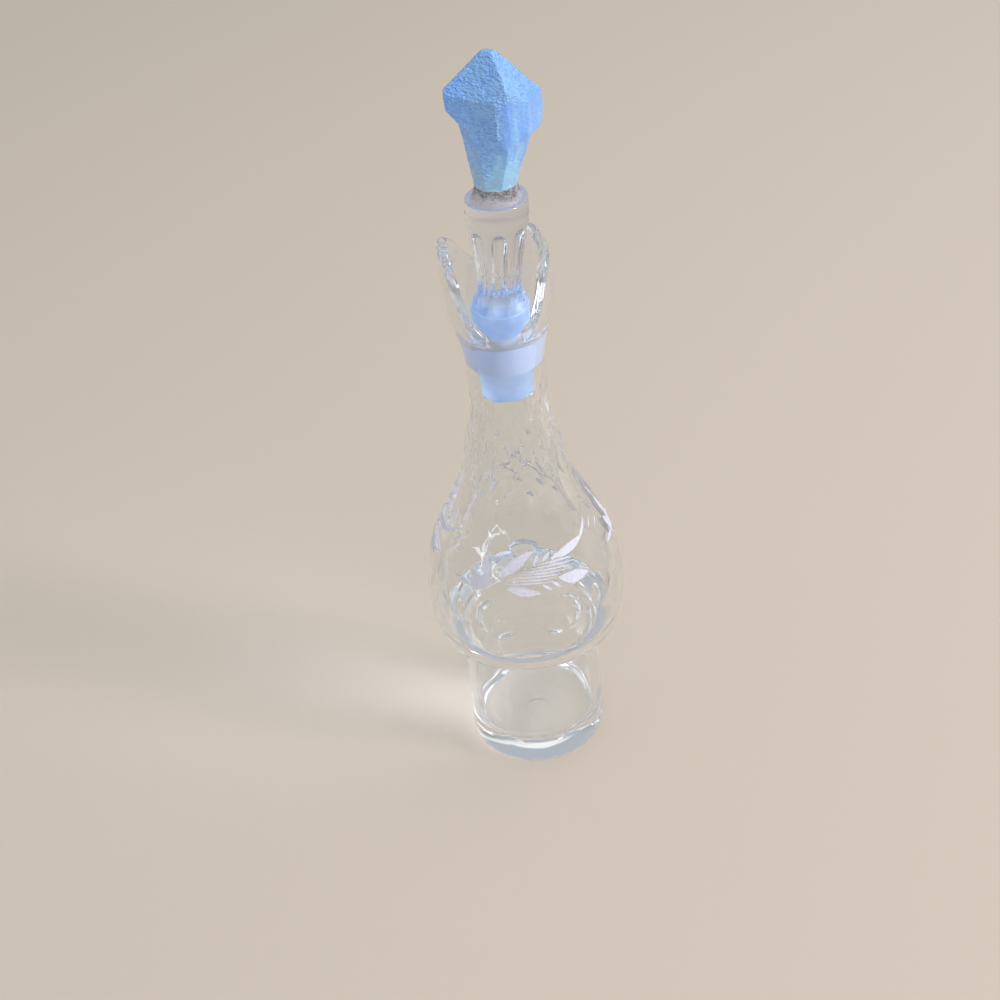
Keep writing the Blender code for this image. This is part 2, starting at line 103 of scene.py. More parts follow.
# Stopper above its plug. A curve is the power by which shank and collar widen
SHOULDER_HEIGHT = 0.0048
WAIST_RADIUS = 0.0054
SHANK_HEIGHT = 0.0185
SHANK_CURVE = 1.4
FLANGE_RADIUS = 0.0073
FLANGE_THICKNESS = 0.0050
COLLAR_RADIUS = 0.0048
COLLAR_HEIGHT = 0.0048
COLLAR_FLARE = 0.0013
COLLAR_CURVE = 2.2
COLLAR_SINK = 0.0006
FLUTE_COUNT = 8
FLUTE_DEPTH = 0.0008
FLUTE_WHEEL_RADIUS = 0.0034
FLUTE_TOP_RUNOUT = 0.0022
FLUTE_END_RUNOUT = 0.0046
FLUTE_TOP_MARGIN = 0.0012
FROST_DROP = 0.0008
FROST_FADE = 0.0030

# Knob of the stopper
KNOB_HALF_WIDTH = 0.0100
KNOB_TAPER_HEIGHT = 0.0130
KNOB_GIRDLE_HEIGHT = 0.0090
KNOB_CROWN_HEIGHT = 0.0085
KNOB_TIP_HALF_WIDTH = 0.0014
KNOB_NECK_DISTANCE = 0.0046
KNOB_TAPER_DISTANCE = 0.0079
KNOB_SINK = 0.0012

# Angles
STOPPER_LEAN = math.radians(3.0)
FRONT = math.radians(270.0)
SPOUT_AZIMUTH = math.radians(12.0)
SPOUT_HALF_WIDTH = math.radians(62.0)

# Outline of bulb and shoulder: share of BULB_HEIGHT, share of the way from neck to bulb radius
BULB_SHARES = (
    (0.027, 0.940), (0.089, 0.988), (0.167, 1.000), (0.271, 0.970), (0.375, 0.864),
    (0.479, 0.664), (0.584, 0.440), (0.688, 0.276), (0.792, 0.180), (0.896, 0.091),
    (1.000, 0.000),
)

# Outline of the mouth: share of MOUTH_HEIGHT, share of the way from neck to mouth radius
MOUTH_SHARES = (
    (0.000, 0.000), (0.120, 0.100), (0.254, 0.370), (0.358, 0.620), (0.448, 0.790),
    (0.567, 0.920), (0.687, 0.974), (1.000, 1.000),
)

# Crest of the rim: azimuth in degrees, share of DIP_DEPTH above the front dip
RIM_SHARES = (
    (0, 0.84), (22, 0.86), (42, 0.90), (53, 0.81), (63, 0.50), (75, 0.345), (95, 0.35),
    (125, 0.53), (150, 0.83), (172, 0.985), (192, 1.00), (204, 0.87), (216, 0.53),
    (233, 0.17), (255, 0.02), (280, 0.00), (300, 0.08), (314, 0.27), (323, 0.52),
    (332, 0.74), (345, 0.82),
)

# Rows of scales down the neck: centre and half length as shares of BULB_HEIGHT,
# depth as a share of SCALE_DEPTH, turn as a share of the step between scales
SCALE_ROW_SHARES = (
    (1.000, 0.080, 0.80, 0.5),
    (0.914, 0.105, 1.00, 0.0),
    (0.795, 0.125, 1.20, 0.5),
    (0.655, 0.145, 1.50, 0.0),
)

# Sides of the knob's girdle, ground by hand and so uneven: azimuth in degrees, share of
# KNOB_HALF_WIDTH, share of the girdle height at which the sloping underside starts
KNOB_SIDE_SHARES = (
    (4, 1.09, 0.06), (61, 0.66, 0.26), (118, 1.02, 0.45), (151, 1.00, 0.48), (184, 1.02, 0.62),
    (241, 0.66, 0.26), (273, 0.78, 0.10), (298, 0.82, 0.04), (331, 0.92, 0.00),
)

# Four facets of the crown: azimuth in degrees, share of KNOB_HALF_WIDTH, share of the girdle
# height by which the facet reaches below the girdle's top, share of KNOB_TIP_HALF_WIDTH
KNOB_CROWN_SHARES = (
    (61, 0.66, 0.30, 0.60), (151, 1.00, 0.04, 1.00), (241, 0.66, 0.00, 0.60),
    (331, 0.92, 0.16, 1.00),
)

# Flat sides of the taper under the girdle: azimuth in degrees, share of KNOB_TAPER_DISTANCE
KNOB_TAPER_SHARES = (
    (350, 1.08), (35, 1.08), (80, 0.98), (125, 0.90), (170, 0.86), (215, 0.88), (260, 0.96),
    (305, 1.06),
)

# Engraved leaves of one spray: where a leaf starts and ends, each as degrees to the right of the
# spray's middle and millimetres above the table, then its width and its sideways bend in mm
LEAVES = (
    (-17.6, 74.6, 7.3, 80.9, 2.4, 0.3),
    (5.7, 77.1, 10.8, 80.0, 0.8, 0.0),
    (11.8, 77.6, 20.4, 79.9, 0.8, 0.1),
    (19.7, 77.6, 24.3, 79.0, 0.6, 0.0),
    (20.0, 78.2, 50.0, 79.6, 2.2, -0.2),
    (44.0, 79.0, 60.0, 82.6, 1.1, -0.5),
    (21.2, 73.2, 43.0, 71.0, 2.9, -0.4),
    (-12.4, 72.1, 6.7, 70.2, 2.2, 0.2),
    (3.6, 71.5, 8.8, 69.9, 0.6, 0.0),
    (9.8, 72.5, 15.7, 70.4, 0.8, 0.1),
    (16.1, 72.8, 21.5, 70.6, 0.8, 0.1),
    (-35.0, 70.4, -37.1, 76.2, 2.6, -0.7),
    (-25.6, 72.3, -27.2, 80.8, 2.5, 0.2),
    (-27.2, 79.8, -23.6, 84.2, 0.5, 0.3),
    (-35.5, 70.2, -20.0, 73.8, 3.0, 0.9),
    (-50.7, 71.9, -36.5, 71.5, 1.3, 0.1),
    (-38.0, 71.9, -31.8, 68.5, 0.5, 0.1),
    (58.7, 78.9, 66.7, 81.4, 0.7, 0.0),
    (65.2, 77.5, 74.5, 79.9, 0.7, 0.0),
)

# The frond that the leaves stand on, a fan of thin cuts from the lowest up: where each cut
# starts and ends, each as degrees and millimetres as above
FROND_CUTS = (
    (-16.1, 73.3, 17.1, 72.6),
    (-15.0, 74.1, 21.4, 73.2),
    (-12.3, 74.9, 26.0, 73.7),
    (-8.0, 75.6, 30.3, 74.2),
    (-3.0, 76.2, 33.7, 74.8),
    (2.0, 76.8, 36.4, 75.5),
    (7.0, 77.4, 36.0, 76.5),
)
FROND_BEND = 0.3
SPRAY_COUNT = 3
ENGRAVED_LOW = 0.0672
ENGRAVED_HIGH = 0.0850

# How far a leaf is looked for past its ends, as a share of its length, and the width in mm of
# its sloping edge. How far the frond reaches past its outermost cuts and how far they are
# counted there, both in steps from cut to cut, and the least such step in mm
LEAF_OVERRUN = 0.1
LEAF_SLOPE = 0.15
FROND_OVERRUN = 0.5
FROND_LIMIT = 0.6
LEAST_CUT_SPACING = 0.1

# What a place has where nothing is engraved: depth inside a leaf, number of a cut, swell
NO_ENGRAVING = (-1.0, -FROND_LIMIT, -1.0)

# Heights and radii that follow from the sizes above
NECK_START = FOOT_HEIGHT + BULB_HEIGHT
MOUTH_BASE = NECK_START + NECK_HEIGHT
CREST_HEIGHT = MOUTH_BASE + MOUTH_HEIGHT
DIP_HEIGHT = CREST_HEIGHT - DIP_DEPTH
SEAT_BOTTOM = NECK_START + SEAT_START
SEAT_TOP = SEAT_BOTTOM + SEAT_LENGTH
PLUG_END = SEAT_BOTTOM - PLUG_TAIL
PLUG_TOP = PLUG_END + PLUG_LENGTH
NECK_RADIUS = PLUG_END_RADIUS + SEAT_GAP + NECK_WALL
LIP_RADIUS = LIP_THICKNESS / 2
RIM_TOP = CREST_HEIGHT - LIP_RADIUS
WAIST_HEIGHT = PLUG_TOP + SHOULDER_HEIGHT
FLANGE_BASE = WAIST_HEIGHT + SHANK_HEIGHT
FLANGE_TOP = FLANGE_BASE + FLANGE_THICKNESS
COLLAR_TOP = FLANGE_TOP + COLLAR_HEIGHT
GIRDLE_BASE = COLLAR_TOP + KNOB_TAPER_HEIGHT - KNOB_SINK
GIRDLE_TOP = GIRDLE_BASE + KNOB_GIRDLE_HEIGHT
KNOB_TOP = GIRDLE_TOP + KNOB_CROWN_HEIGHT
SCALE_TOP = FOOT_HEIGHT + BULB_HEIGHT * (SCALE_ROW_SHARES[0][0] + SCALE_ROW_SHARES[0][1])
LEDGE_TOP = FOOT_HEIGHT + LEDGE_RISE + LEDGE_ROUNDING
GROUND_TOP = DIP_HEIGHT - GROUND_DROP

# Rounding of small edges, distances below which places are one, steps in which the rim is
# measured, and the unit of the engraving
EDGE_ROUNDING = 0.0004
MERGE_DISTANCE = 0.00001
POLE_DISTANCE = 0.000001
RIM_SAMPLES = 1440
MILLIMETRE = 0.001

# Heights of the rows of faces, then counts of rows and columns
FOOT_ROWS = 0.0050
FOOT_INNER_ROWS = 0.0040
BULB_INNER_ROWS = 0.0022
MOUTH_ROWS = 0.0012
MOUTH_INNER_ROWS = 0.0013
GROUND_ROWS = 0.0010
SHANK_ROWS = 0.00035
COLLAR_ROWS = 0.0003
STEP_ROW_COUNT = 8
SHOULDER_ROW_COUNT = 10
COLLAR_COLUMNS = 96

# Outside of the bottle from the mouth down to the ledge: where each stretch ends and the height
# of its rows of faces, which are lowest where it is cut or engraved
OUTER_STRETCHES = (
    (SCALE_TOP, 0.00120), (ENGRAVED_HIGH, 0.00065), (ENGRAVED_LOW, 0.00034),
    (PUNTY_ROWS_END, 0.00055), (LEDGE_TOP, 0.00140),
)

# Unevenness: size of the waves of the blown wall, then of the lumps and nicks of the ground
# knob. A density is how much closer together they lie upwards than across
WALL_WAVE = 0.0120
WALL_WAVE_DENSITY = 0.5
KNOB_LUMP = 0.0022
KNOB_NICK = 0.0009
KNOB_NICK_DENSITY = 1.8
KNOB_NICK_SHARE = 0.4
KNOB_SOFTENING_ROUNDS = 3

# Sizes of the patterns in the glass, and the values that most of a noise lies between. The
# grain and the pits are finer on real ground glass, and are as coarse here as they need to show
ENGRAVING_GRAIN = 0.0009
BLOWN_RIPPLE = 0.0090
POLISHED_RIPPLE = 0.0040
PLUG_PITS = 0.0004
PLUG_CLOUDS = 0.0035
COLLAR_LUMPS = 0.0005
COLLAR_PATCHES = 0.0030
KNOB_PITS = 0.0004
KNOB_PATCHES = 0.0040
KNOB_STREAKS = 0.0016
NOISE_SPREAD = (0.35, 0.65)

# Refraction of the two glasses, and roughness and clearness of their ground skins
BOTTLE_IOR = 1.54
STOPPER_IOR = 1.52
SEAT_ROUGHNESS = 0.50
SEAT_CLEARNESS = 0.40
PLUG_ROUGHNESS = 0.40
PLUG_CLEARNESS = 0.70

# Sockets of a Mix node that take its two colours and give its result
COLOUR_A, COLOUR_B, COLOUR_RESULT = 6, 7, 2

# Floor, lamps and camera. Each lamp has a name, a place, a width and height, its share of the
# lamp power, and a colour. The camera's lens and sensor are in mm and its turns in degrees
FLOOR_REACH = 4.0
PAPER_ROUGHNESS = 0.9
LAMPS = (
    ("overhead", (0.25, -0.15, 1.40), (2.00, 2.00), 0.64, "#FFF6EA"),
    ("window_left", (-1.44, -1.15, 0.26), (1.44, 0.05), 0.15, "#DDEAFF"),
    ("window_right", (1.70, -0.63, 1.17), (0.42, 1.10), 3.1, "#F0F4FF"),
)
CAMERA_SENSOR = 36.0
CAMERA_LENS = 54.0
CAMERA_NEAR = 0.01
CAMERA_PLACE = (0.0, -0.30231, 0.33220)
CAMERA_YAW = 0.903
CAMERA_DOWN = 39.544
CAMERA_ROLL = -5.971


def linear(code):
    """Scene-linear colour of an sRGB hex code."""
    values = [int(code[start:start + 2], 16) / 255 for start in (1, 3, 5)]
    return [v / 12.92 if v <= 0.04045 else ((v + 0.055) / 1.055) ** 2.4 for v in values] + [1.0]


def mix(start, end, share):
    return start + (end - start) * share


def smoothstep(value):
    value = min(max(value, 0.0), 1.0)
    return value * value * (3.0 - 2.0 * value)


def smooth_value(points, position):
    """Height at a position of a smooth curve through points that are sorted by position."""
    if position <= points[0][0]:
        return points[0][1]
    if position >= points[-1][0]:
        return points[-1][1]
    index = max(i for i, point in enumerate(points) if point[0] <= position)
    index = min(index, len(points) - 2)
    before = points[max(index - 1, 0)]
    start = points[index]
    end = points[index + 1]
    after = points[min(index + 2, len(points) - 1)]
    span = end[0] - start[0]
    start_slope = (end[1] - before[1]) / (end[0] - before[0])
    end_slope = (after[1] - start[1]) / (after[0] - start[0])
    t = (position - start[0]) / span
    return (
        start[1] * (1 + 2 * t) * (1 - t) ** 2
        + span * start_slope * t * (1 - t) ** 2
        + end[1] * t * t * (3 - 2 * t)
        + span * end_slope * t * t * (t - 1)
    )


def arc(centre_radius, centre_height, radius, start_degrees, end_degrees, steps):
    """Points of a rounding in the radius-height plane, both ends included."""
    points = []
    for step in range(steps + 1):
        angle = math.radians(mix(start_degrees, end_degrees, step / steps))
        points.append((centre_radius + radius * math.cos(angle),
                       centre_height + radius * math.sin(angle)))
    return points


def heights(start, end, spacing):
    """Heights from one to another in even steps near the spacing, both ends included."""
    count = max(1, round(abs(end - start) / spacing))
    return [mix(start, end, row / count) for row in range(count + 1)]


def wall_points(radius, start, end, spacing):
    """Points at even heights along a wall, whose radius is a number or follows the height."""
    radius_at = radius if callable(radius) else lambda height: radius
    return [(radius_at(height), height) for height in heights(start, end, spacing)]


def angle_between(azimuth, other):
    """Smallest signed angle from one azimuth to another."""
    return (azimuth - other + math.pi) % math.tau - math.pi


def around_axis(radius, azimuth, height):
    return Vector((radius * math.cos(azimuth), radius * math.sin(azimuth), height))


def bulb_radius(height):
    """Outer radius of bulb, shoulder and neck before they are cut."""
    share = smooth_value(BULB_SHARES, (height - FOOT_HEIGHT) / BULB_HEIGHT)
    return mix(NECK_RADIUS, BULB_RADIUS, share)


def mouth_radius(height):
    """Outer radius of the flared mouth."""
    share = smooth_value(MOUTH_SHARES, (height - MOUTH_BASE) / MOUTH_HEIGHT)
    return mix(NECK_RADIUS, MOUTH_RADIUS, share)


def plug_radius(height):
    """Radius of the plug, which the seat in the neck is ground to."""
    return mix(PLUG_END_RADIUS, PLUG_TOP_RADIUS, (height - PLUG_END) / PLUG_LENGTH)


def seat_radius(height):
    """Radius of the seat, a small gap wider than the plug."""
    return plug_radius(height) + SEAT_GAP


def cup_radius(height):
    """Inner radius of the mouth: a funnel from the seat up to an even wall."""
    share = smoothstep((height - SEAT_TOP) / (DIP_HEIGHT - LIP_RADIUS - SEAT_TOP))
    return mix(seat_radius(SEAT_TOP), mouth_radius(height) - LIP_THICKNESS, share)


def rim_height(azimuth):
    """Height of the middle of the rounded lip at an azimuth."""
    degrees = math.degrees(azimuth) % 360
    points = [(turn - 360, share) for turn, share in RIM_SHARES[-2:]]
    points += list(RIM_SHARES)
    points += [(turn + 360, share) for turn, share in RIM_SHARES[:2]]
    return DIP_HEIGHT - LIP_RADIUS + DIP_DEPTH * smooth_value(points, degrees)


def pinch(azimuth, height):
    """How far the spout ear leans in towards the axis."""
    offset = angle_between(azimuth, SPOUT_AZIMUTH) / SPOUT_HALF_WIDTH
    rise = (height - DIP_HEIGHT) / SPOUT_PINCH_RISE - 1.0
    return SPOUT_PINCH * smoothstep(1.0 - abs(offset)) * smoothstep(rise)


def lip_centre(azimuth):
    """Point in the middle of the rounded lip."""
    height = rim_height(azimuth)
    radius = mouth_radius(height) - LIP_RADIUS - pinch(azimuth, height)
    return around_axis(radius, azimuth, height)


def walk_rim():
    """Length along the rim at even azimuths, counted from the front dip."""
    lengths = [0.0]
    last = lip_centre(FRONT)
    for sample in range(1, RIM_SAMPLES + 1):
        point = lip_centre(FRONT + math.tau * sample / RIM_SAMPLES)
        lengths.append(lengths[-1] + (point - last).length)
        last = point
    return lengths


RIM_WALK = walk_rim()


def rim_azimuth(azimuth):
    """Azimuth on the rim that a column of the wall leads to, evenly spaced along the rim."""
    turn = (azimuth - FRONT) % math.tau / math.tau
    half = RIM_SAMPLES // 2
    first = 0 if turn < 0.5 else half
    share = turn * 2 if turn < 0.5 else turn * 2 - 1
    target = mix(RIM_WALK[first], RIM_WALK[first + half], share)
    low, high = first, first + half
    while high - low > 1:
        middle = (low + high) // 2
        low, high = (middle, high) if RIM_WALK[middle] <= target else (low, middle)
    step = (target - RIM_WALK[low]) / (RIM_WALK[low + 1] - RIM_WALK[low])
    return FRONT + math.tau * (low + step) / RIM_SAMPLES


def shape_lip(azimuth, angle):
    """Point of the rounded lip, at an angle from its outer side over to its inner side."""
    centre = lip_centre(azimuth)
    sample = math.tau / RIM_SAMPLES
    along = (lip_centre(azimuth + sample) - lip_centre(azimuth - sample)).normalized()
    outward = around_axis(1.0, azimuth, 0.0)
    upward = outward.cross(along).normalized()
    return centre + LIP_RADIUS * (math.cos(angle) * outward + math.sin(angle) * upward)


def shape_mouth(point):
    """Moves a point of the plain tubular mouth to the wall with two ears and two dips."""
    radius = math.hypot(point.x, point.y)
    azimuth = math.atan2(point.y, point.x)
    middle = MOUTH_RADIUS - LIP_RADIUS
    outside = radius > middle
    if point.z <= (MOUTH_BASE if outside else SEAT_TOP) + MERGE_DISTANCE:
        return point
    target = rim_azimuth(azimuth)
    if point.z > RIM_TOP - MERGE_DISTANCE:
        return shape_lip(target, math.atan2(point.z - RIM_TOP, radius - middle))
    base = MOUTH_BASE if outside else SEAT_TOP
    share = (point.z - base) / (RIM_TOP - base)
    turned = azimuth + angle_between(target, azimuth) * share * share
    height = mix(base, rim_height(target), share)
    wall = mouth_radius(height) if outside else cup_radius(height)
    return around_axis(wall - pinch(turned, height), turned, height)


def lower_of(first, second):
    """The smaller of two radii, blended where they are nearly alike, as a polished edge is."""
    near = max(SCALE_BLEND - abs(first - second), 0.0)
    return min(first, second) - near * near / (4 * SCALE_BLEND)


def scale_cut(azimuth, height, radius):
    """Radius left by the staggered rows of scales, each hollowed along the neck only."""
    step = math.tau / SCALES_PER_ROW
    left = radius
    for centre_share, half_share, depth_share, turn_share in SCALE_ROW_SHARES:
        rise = (height - FOOT_HEIGHT - centre_share * BULB_HEIGHT) / (half_share * BULB_HEIGHT)
        if abs(rise) >= 1.0:
            continue
        turn = (azimuth - FRONT) / step - turn_share
        offset = (turn - round(turn)) * step
        depth = SCALE_DEPTH * depth_share * (1.0 - rise * rise)
        left = lower_of(left, (radius - depth) / math.cos(offset))
    return left


def punty_cut(azimuth, height, radius):
    """Radius left by the row of round hollows low on the bulb."""
    step = math.tau / PUNTY_COUNT
    turn = (azimuth - FRONT) / step - 0.5
    across = (turn - round(turn)) * step * radius
    up = height - FOOT_HEIGHT - PUNTY_HEIGHT
    reach = (across * across + up * up) / (PUNTY_RADIUS * PUNTY_RADIUS)
    return radius - PUNTY_DEPTH * max(0.0, 1.0 - reach)


def spread(degrees, height_mm):
    """Place on the bulb's unrolled surface, in mm across and up."""
    radius_mm = bulb_radius(height_mm * MILLIMETRE) / MILLIMETRE
    return Vector((math.radians(degrees) * radius_mm, height_mm))


def lay_out(cuts):
    """Start, direction and length of each engraved cut on the unrolled bulb."""
    rows = []
    for start_degrees, start_mm, end_degrees, end_mm in cuts:
        start = spread(start_degrees, start_mm)
        line = spread(end_degrees, end_mm) - start
        rows.append((start, line.normalized(), line.length))
    return rows


LEAF_LINES = lay_out([leaf[:4] for leaf in LEAVES])
FROND_LINES = lay_out(FROND_CUTS)


def beside(point, line, bend):
    """Share of the way along a cut, its swell there, and the distance to its left, in mm."""
    start, direction, length = line
    away = point - start
    along = away.dot(direction) / length
    swell = 4.0 * along * (1.0 - along)
    return along, swell, direction.x * away.y - direction.y * away.x - bend * swell


def in_leaf(point):
    """How far inside an engraved leaf a place of the unrolled bulb lies, in mm."""
    best = -1.0
    for line, leaf in zip(LEAF_LINES, LEAVES):
        along, swell, across = beside(point, line, leaf[5])
        if -LEAF_OVERRUN < along < 1 + LEAF_OVERRUN:
            best = max(best, leaf[4] / 2 * swell - abs(across))
    return best


def in_frond(point):
    """Number of the frond's cut at a place, with its fraction, and the cuts' swell there."""
    rows = [beside(point, line, FROND_BEND) for line in FROND_LINES]
    last = len(rows) - 1
    lower = sum(1 for row in rows if row[2] > 0.0) - 1
    lower = min(max(lower, 0), last - 1)
    below, above = rows[lower], rows[lower + 1]
    share = below[2] / max(below[2] - above[2], LEAST_CUT_SPACING)
    if not -FROND_OVERRUN < lower + share < last + FROND_OVERRUN:
        return min(max(lower + share, -FROND_LIMIT), last + FROND_LIMIT), -1.0
    return lower + share, mix(below[1], above[1], share)


def engraving(azimuth, height):
    """Depth inside a leaf in mm, the frond's cut and its swell, at a place of the bulb."""
    step = 360 / SPRAY_COUNT
    turn = math.degrees(angle_between(azimuth, FRONT)) / step
    degrees = (turn - round(turn)) * step
    own = spread(degrees, height / MILLIMETRE)
    beyond = spread(degrees - math.copysign(step, degrees), height / MILLIMETRE)
    return (max(in_leaf(own), in_leaf(beyond)), *in_frond(own))


def crowd_to_front(azimuth, share):
    """Turns a column of the mesh towards the front, where most of the fine work shows."""
    offset = angle_between(azimuth, FRONT)
    return FRONT + offset - share * math.sin(offset)


def inner_profile():
    """Inside of the bottle, from the middle of the floor up to the foot of the mouth."""
    foot = FOOT_RADIUS - BODY_WALL
    floor = foot - FLOOR_CORNER
    corner = FLOOR_THICKNESS + FLOOR_CORNER
    step_low = FOOT_HEIGHT - BODY_WALL
    step_high = FOOT_HEIGHT + 3 * BODY_WALL
    points = [(floor * share, FLOOR_THICKNESS) for share in (0.0, 0.25, 0.5, 0.75)]
    points += arc(floor, corner, FLOOR_CORNER, -90, 0, steps=9)
    points += wall_points(foot, corner, step_low, FOOT_INNER_ROWS)[1:]
    for row in range(1, STEP_ROW_COUNT + 1):
        turn = row / STEP_ROW_COUNT * math.pi / 2
        points.append((mix(foot, bulb_radius(step_high) - BODY_WALL, math.sin(turn)),
                       mix(step_low, step_high, 1 - math.cos(turn))))
    for height in heights(step_high, NECK_START, BULB_INNER_ROWS)[1:-1]:
        wall = mix(BODY_WALL, NECK_WALL, (height - step_high) / (NECK_START - step_high))
        points.append((bulb_radius(height) - wall, height))
    points += wall_points(seat_radius(SEAT_BOTTOM), NECK_START, SEAT_BOTTOM, BULB_INNER_ROWS)
    points += wall_points(seat_radius, SEAT_BOTTOM, SEAT_TOP, GROUND_ROWS)[1:]
    return points


def mouth_profile():
    """The mouth as a plain tube, up the inside, over the lip and down the outside."""
    middle = MOUTH_RADIUS - LIP_RADIUS
    points = wall_points(middle - LIP_RADIUS, SEAT_TOP, RIM_TOP, MOUTH_INNER_ROWS)[1:-1]
    points += arc(middle, RIM_TOP, LIP_RADIUS, 180, 0, steps=14)
    points += wall_points(middle + LIP_RADIUS, RIM_TOP, MOUTH_BASE, MOUTH_ROWS)[1:-1]
    return points


def outer_profile():
    """Outside of the bottle, from the top of the neck down to the middle of the pontil."""
    points = []
    start = MOUTH_BASE
    for end, spacing in OUTER_STRETCHES:
        points += wall_points(bulb_radius, start, end, spacing)[:-1]
        start = end
    points.append((bulb_radius(LEDGE_TOP), LEDGE_TOP))
    low = FOOT_HEIGHT + LEDGE_RISE
    edge = bulb_radius(low) - LEDGE_ROUNDING
    points += arc(edge, low, LEDGE_ROUNDING, 0, -80, steps=7)
    points += [(mix(edge, FOOT_RADIUS, share), mix(low - LEDGE_ROUNDING, FOOT_HEIGHT, share))
               for share in (0.5, 0.95)]
    points += wall_points(FOOT_RADIUS, FOOT_HEIGHT - EDGE_ROUNDING, HEEL_ROUNDING, FOOT_ROWS)[:-1]
    heel = FOOT_RADIUS - HEEL_ROUNDING
    points += arc(heel, HEEL_ROUNDING, HEEL_ROUNDING, 0, -90, steps=8)
    points += [(mix(heel, PONTIL_RADIUS, share), 0.0) for share in (0.33, 0.66, 1.0)]
    points += [(PONTIL_RADIUS * share, PONTIL_DEPTH * (1 - share * share))
               for share in (0.85, 0.65, 0.4, 0.2, 0.0)]
    return points


def spin_profile(points, columns):
    """A closed shape turned about the axis from points in the radius-height plane."""
    shape = bmesh.new()
    corners = [shape.verts.new((radius, 0.0, height)) for radius, height in points]
    edges = [shape.edges.new(pair) for pair in zip(corners, corners[1:])]
    bmesh.ops.spin(shape, geom=corners + edges, cent=(0.0, 0.0, 0.0), axis=(0.0, 0.0, 1.0),
                   angle=math.tau, steps=columns, use_merge=True)
    bmesh.ops.remove_doubles(shape, verts=shape.verts, dist=POLE_DISTANCE)
    bmesh.ops.recalc_face_normals(shape, faces=shape.faces)
    return shape


def add_piece(shape, name):
    mesh = bpy.data.meshes.new(name)
    shape.to_mesh(mesh)
    shape.free()
    piece = bpy.data.objects.new(name, mesh)
    bpy.context.scene.collection.objects.link(piece)
    return piece


def carry(piece, node, materials, sharp_degrees):
    """Finishes a piece that stands for a node: shading, materials, and the body it rides on."""
    for material in materials:
        piece.data.materials.append(material)
    piece.data.shade_smooth()
    piece.data.set_sharp_from_angle(angle=math.radians(sharp_degrees))
    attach(piece, node)
    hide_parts(node)


def bottle_point(point, unevenness):
    """Final place of a point of the plain bottle, and what is engraved there."""
    radius = math.hypot(point.x, point.y)
    azimuth = math.atan2(point.y, point.x)
    on_outside = abs(radius - bulb_radius(point.z)) < MERGE_DISTANCE
    marks = NO_ENGRAVING
    if on_outside and LEDGE_TOP < point.z < MOUTH_BASE:
        cut = scale_cut(azimuth, point.z, radius)
        cut = punty_cut(azimuth, point.z, cut)
        if ENGRAVED_LOW < point.z < ENGRAVED_HIGH:
            marks = engraving(azimuth, point.z)
        return around_axis(min(cut, BULB_RADIUS), azimuth, point.z), marks
    outer = FOOT_RADIUS if point.z < FOOT_HEIGHT else bulb_radius(point.z)
    inner = radius < outer - BODY_WALL / 2
    if inner and FLOOR_THICKNESS + FLOOR_CORNER < point.z < NECK_START:
        sample = Vector((point.x, point.y, point.z * WALL_WAVE_DENSITY)) / WALL_WAVE
        wave = noise.noise(sample)
        return around_axis(radius + unevenness * wave, azimuth, point.z), marks
    return shape_mouth(point), marks


def lean(point):
    """Moves a point of the stopper sideways: the shank stands at a slant on its plug."""
    rise = min(max(point.z - PLUG_TOP, 0.0), GIRDLE_BASE - PLUG_TOP)
    return Vector((point.x + rise * math.tan(STOPPER_LEAN), point.y, point.z))


def shank_radius(height):
    """Radius of the shank, which widens from its waist up to the flange."""
    share = (height - WAIST_HEIGHT) / SHANK_HEIGHT
    return mix(WAIST_RADIUS, FLANGE_RADIUS, max(share, 0.0) ** SHANK_CURVE)


def flute_cut(point):
    """Moves a point of the round shank to the hollow of its nearest flute."""
    top = FLANGE_BASE - FLUTE_TOP_MARGIN
    end = WAIST_HEIGHT
    if not end - FLUTE_END_RUNOUT < point.z < top:
        return point
    radius = math.hypot(point.x, point.y)
    step = math.tau / FLUTE_COUNT
    azimuth = math.atan2(point.y, point.x)
    turn = (azimuth - FRONT) / step
    offset = (turn - round(turn)) * step
    run = max((point.z - top + FLUTE_TOP_RUNOUT) / FLUTE_TOP_RUNOUT, 0.0)
    end_run = max((end - point.z) / FLUTE_END_RUNOUT, 0.0)
    depth = FLUTE_DEPTH * (1.0 - run ** 2) * (1.0 - end_run ** 4)
    centre = radius - depth + FLUTE_WHEEL_RADIUS
    sideways = centre * math.sin(offset)
    if abs(sideways) >= FLUTE_WHEEL_RADIUS:
        return point
    hollow = centre * math.cos(offset) - math.sqrt(FLUTE_WHEEL_RADIUS ** 2 - sideways ** 2)
    return around_axis(min(radius, hollow), azimuth, point.z)


def collar_profile():
    """Collar that flares from the knob's neck down to the flange, with a sunk foot."""
    points = [(0.0, COLLAR_TOP + KNOB_SINK), (COLLAR_RADIUS, COLLAR_TOP + KNOB_SINK)]
    for height in heights(COLLAR_TOP, FLANGE_TOP, COLLAR_ROWS):
        fall = (COLLAR_TOP - height) / COLLAR_HEIGHT
        points.append((COLLAR_RADIUS + COLLAR_FLARE * fall ** COLLAR_CURVE, height))
    foot = FLANGE_TOP - COLLAR_SINK
    return points + [(COLLAR_RADIUS + COLLAR_FLARE, foot), (0.0, foot)]


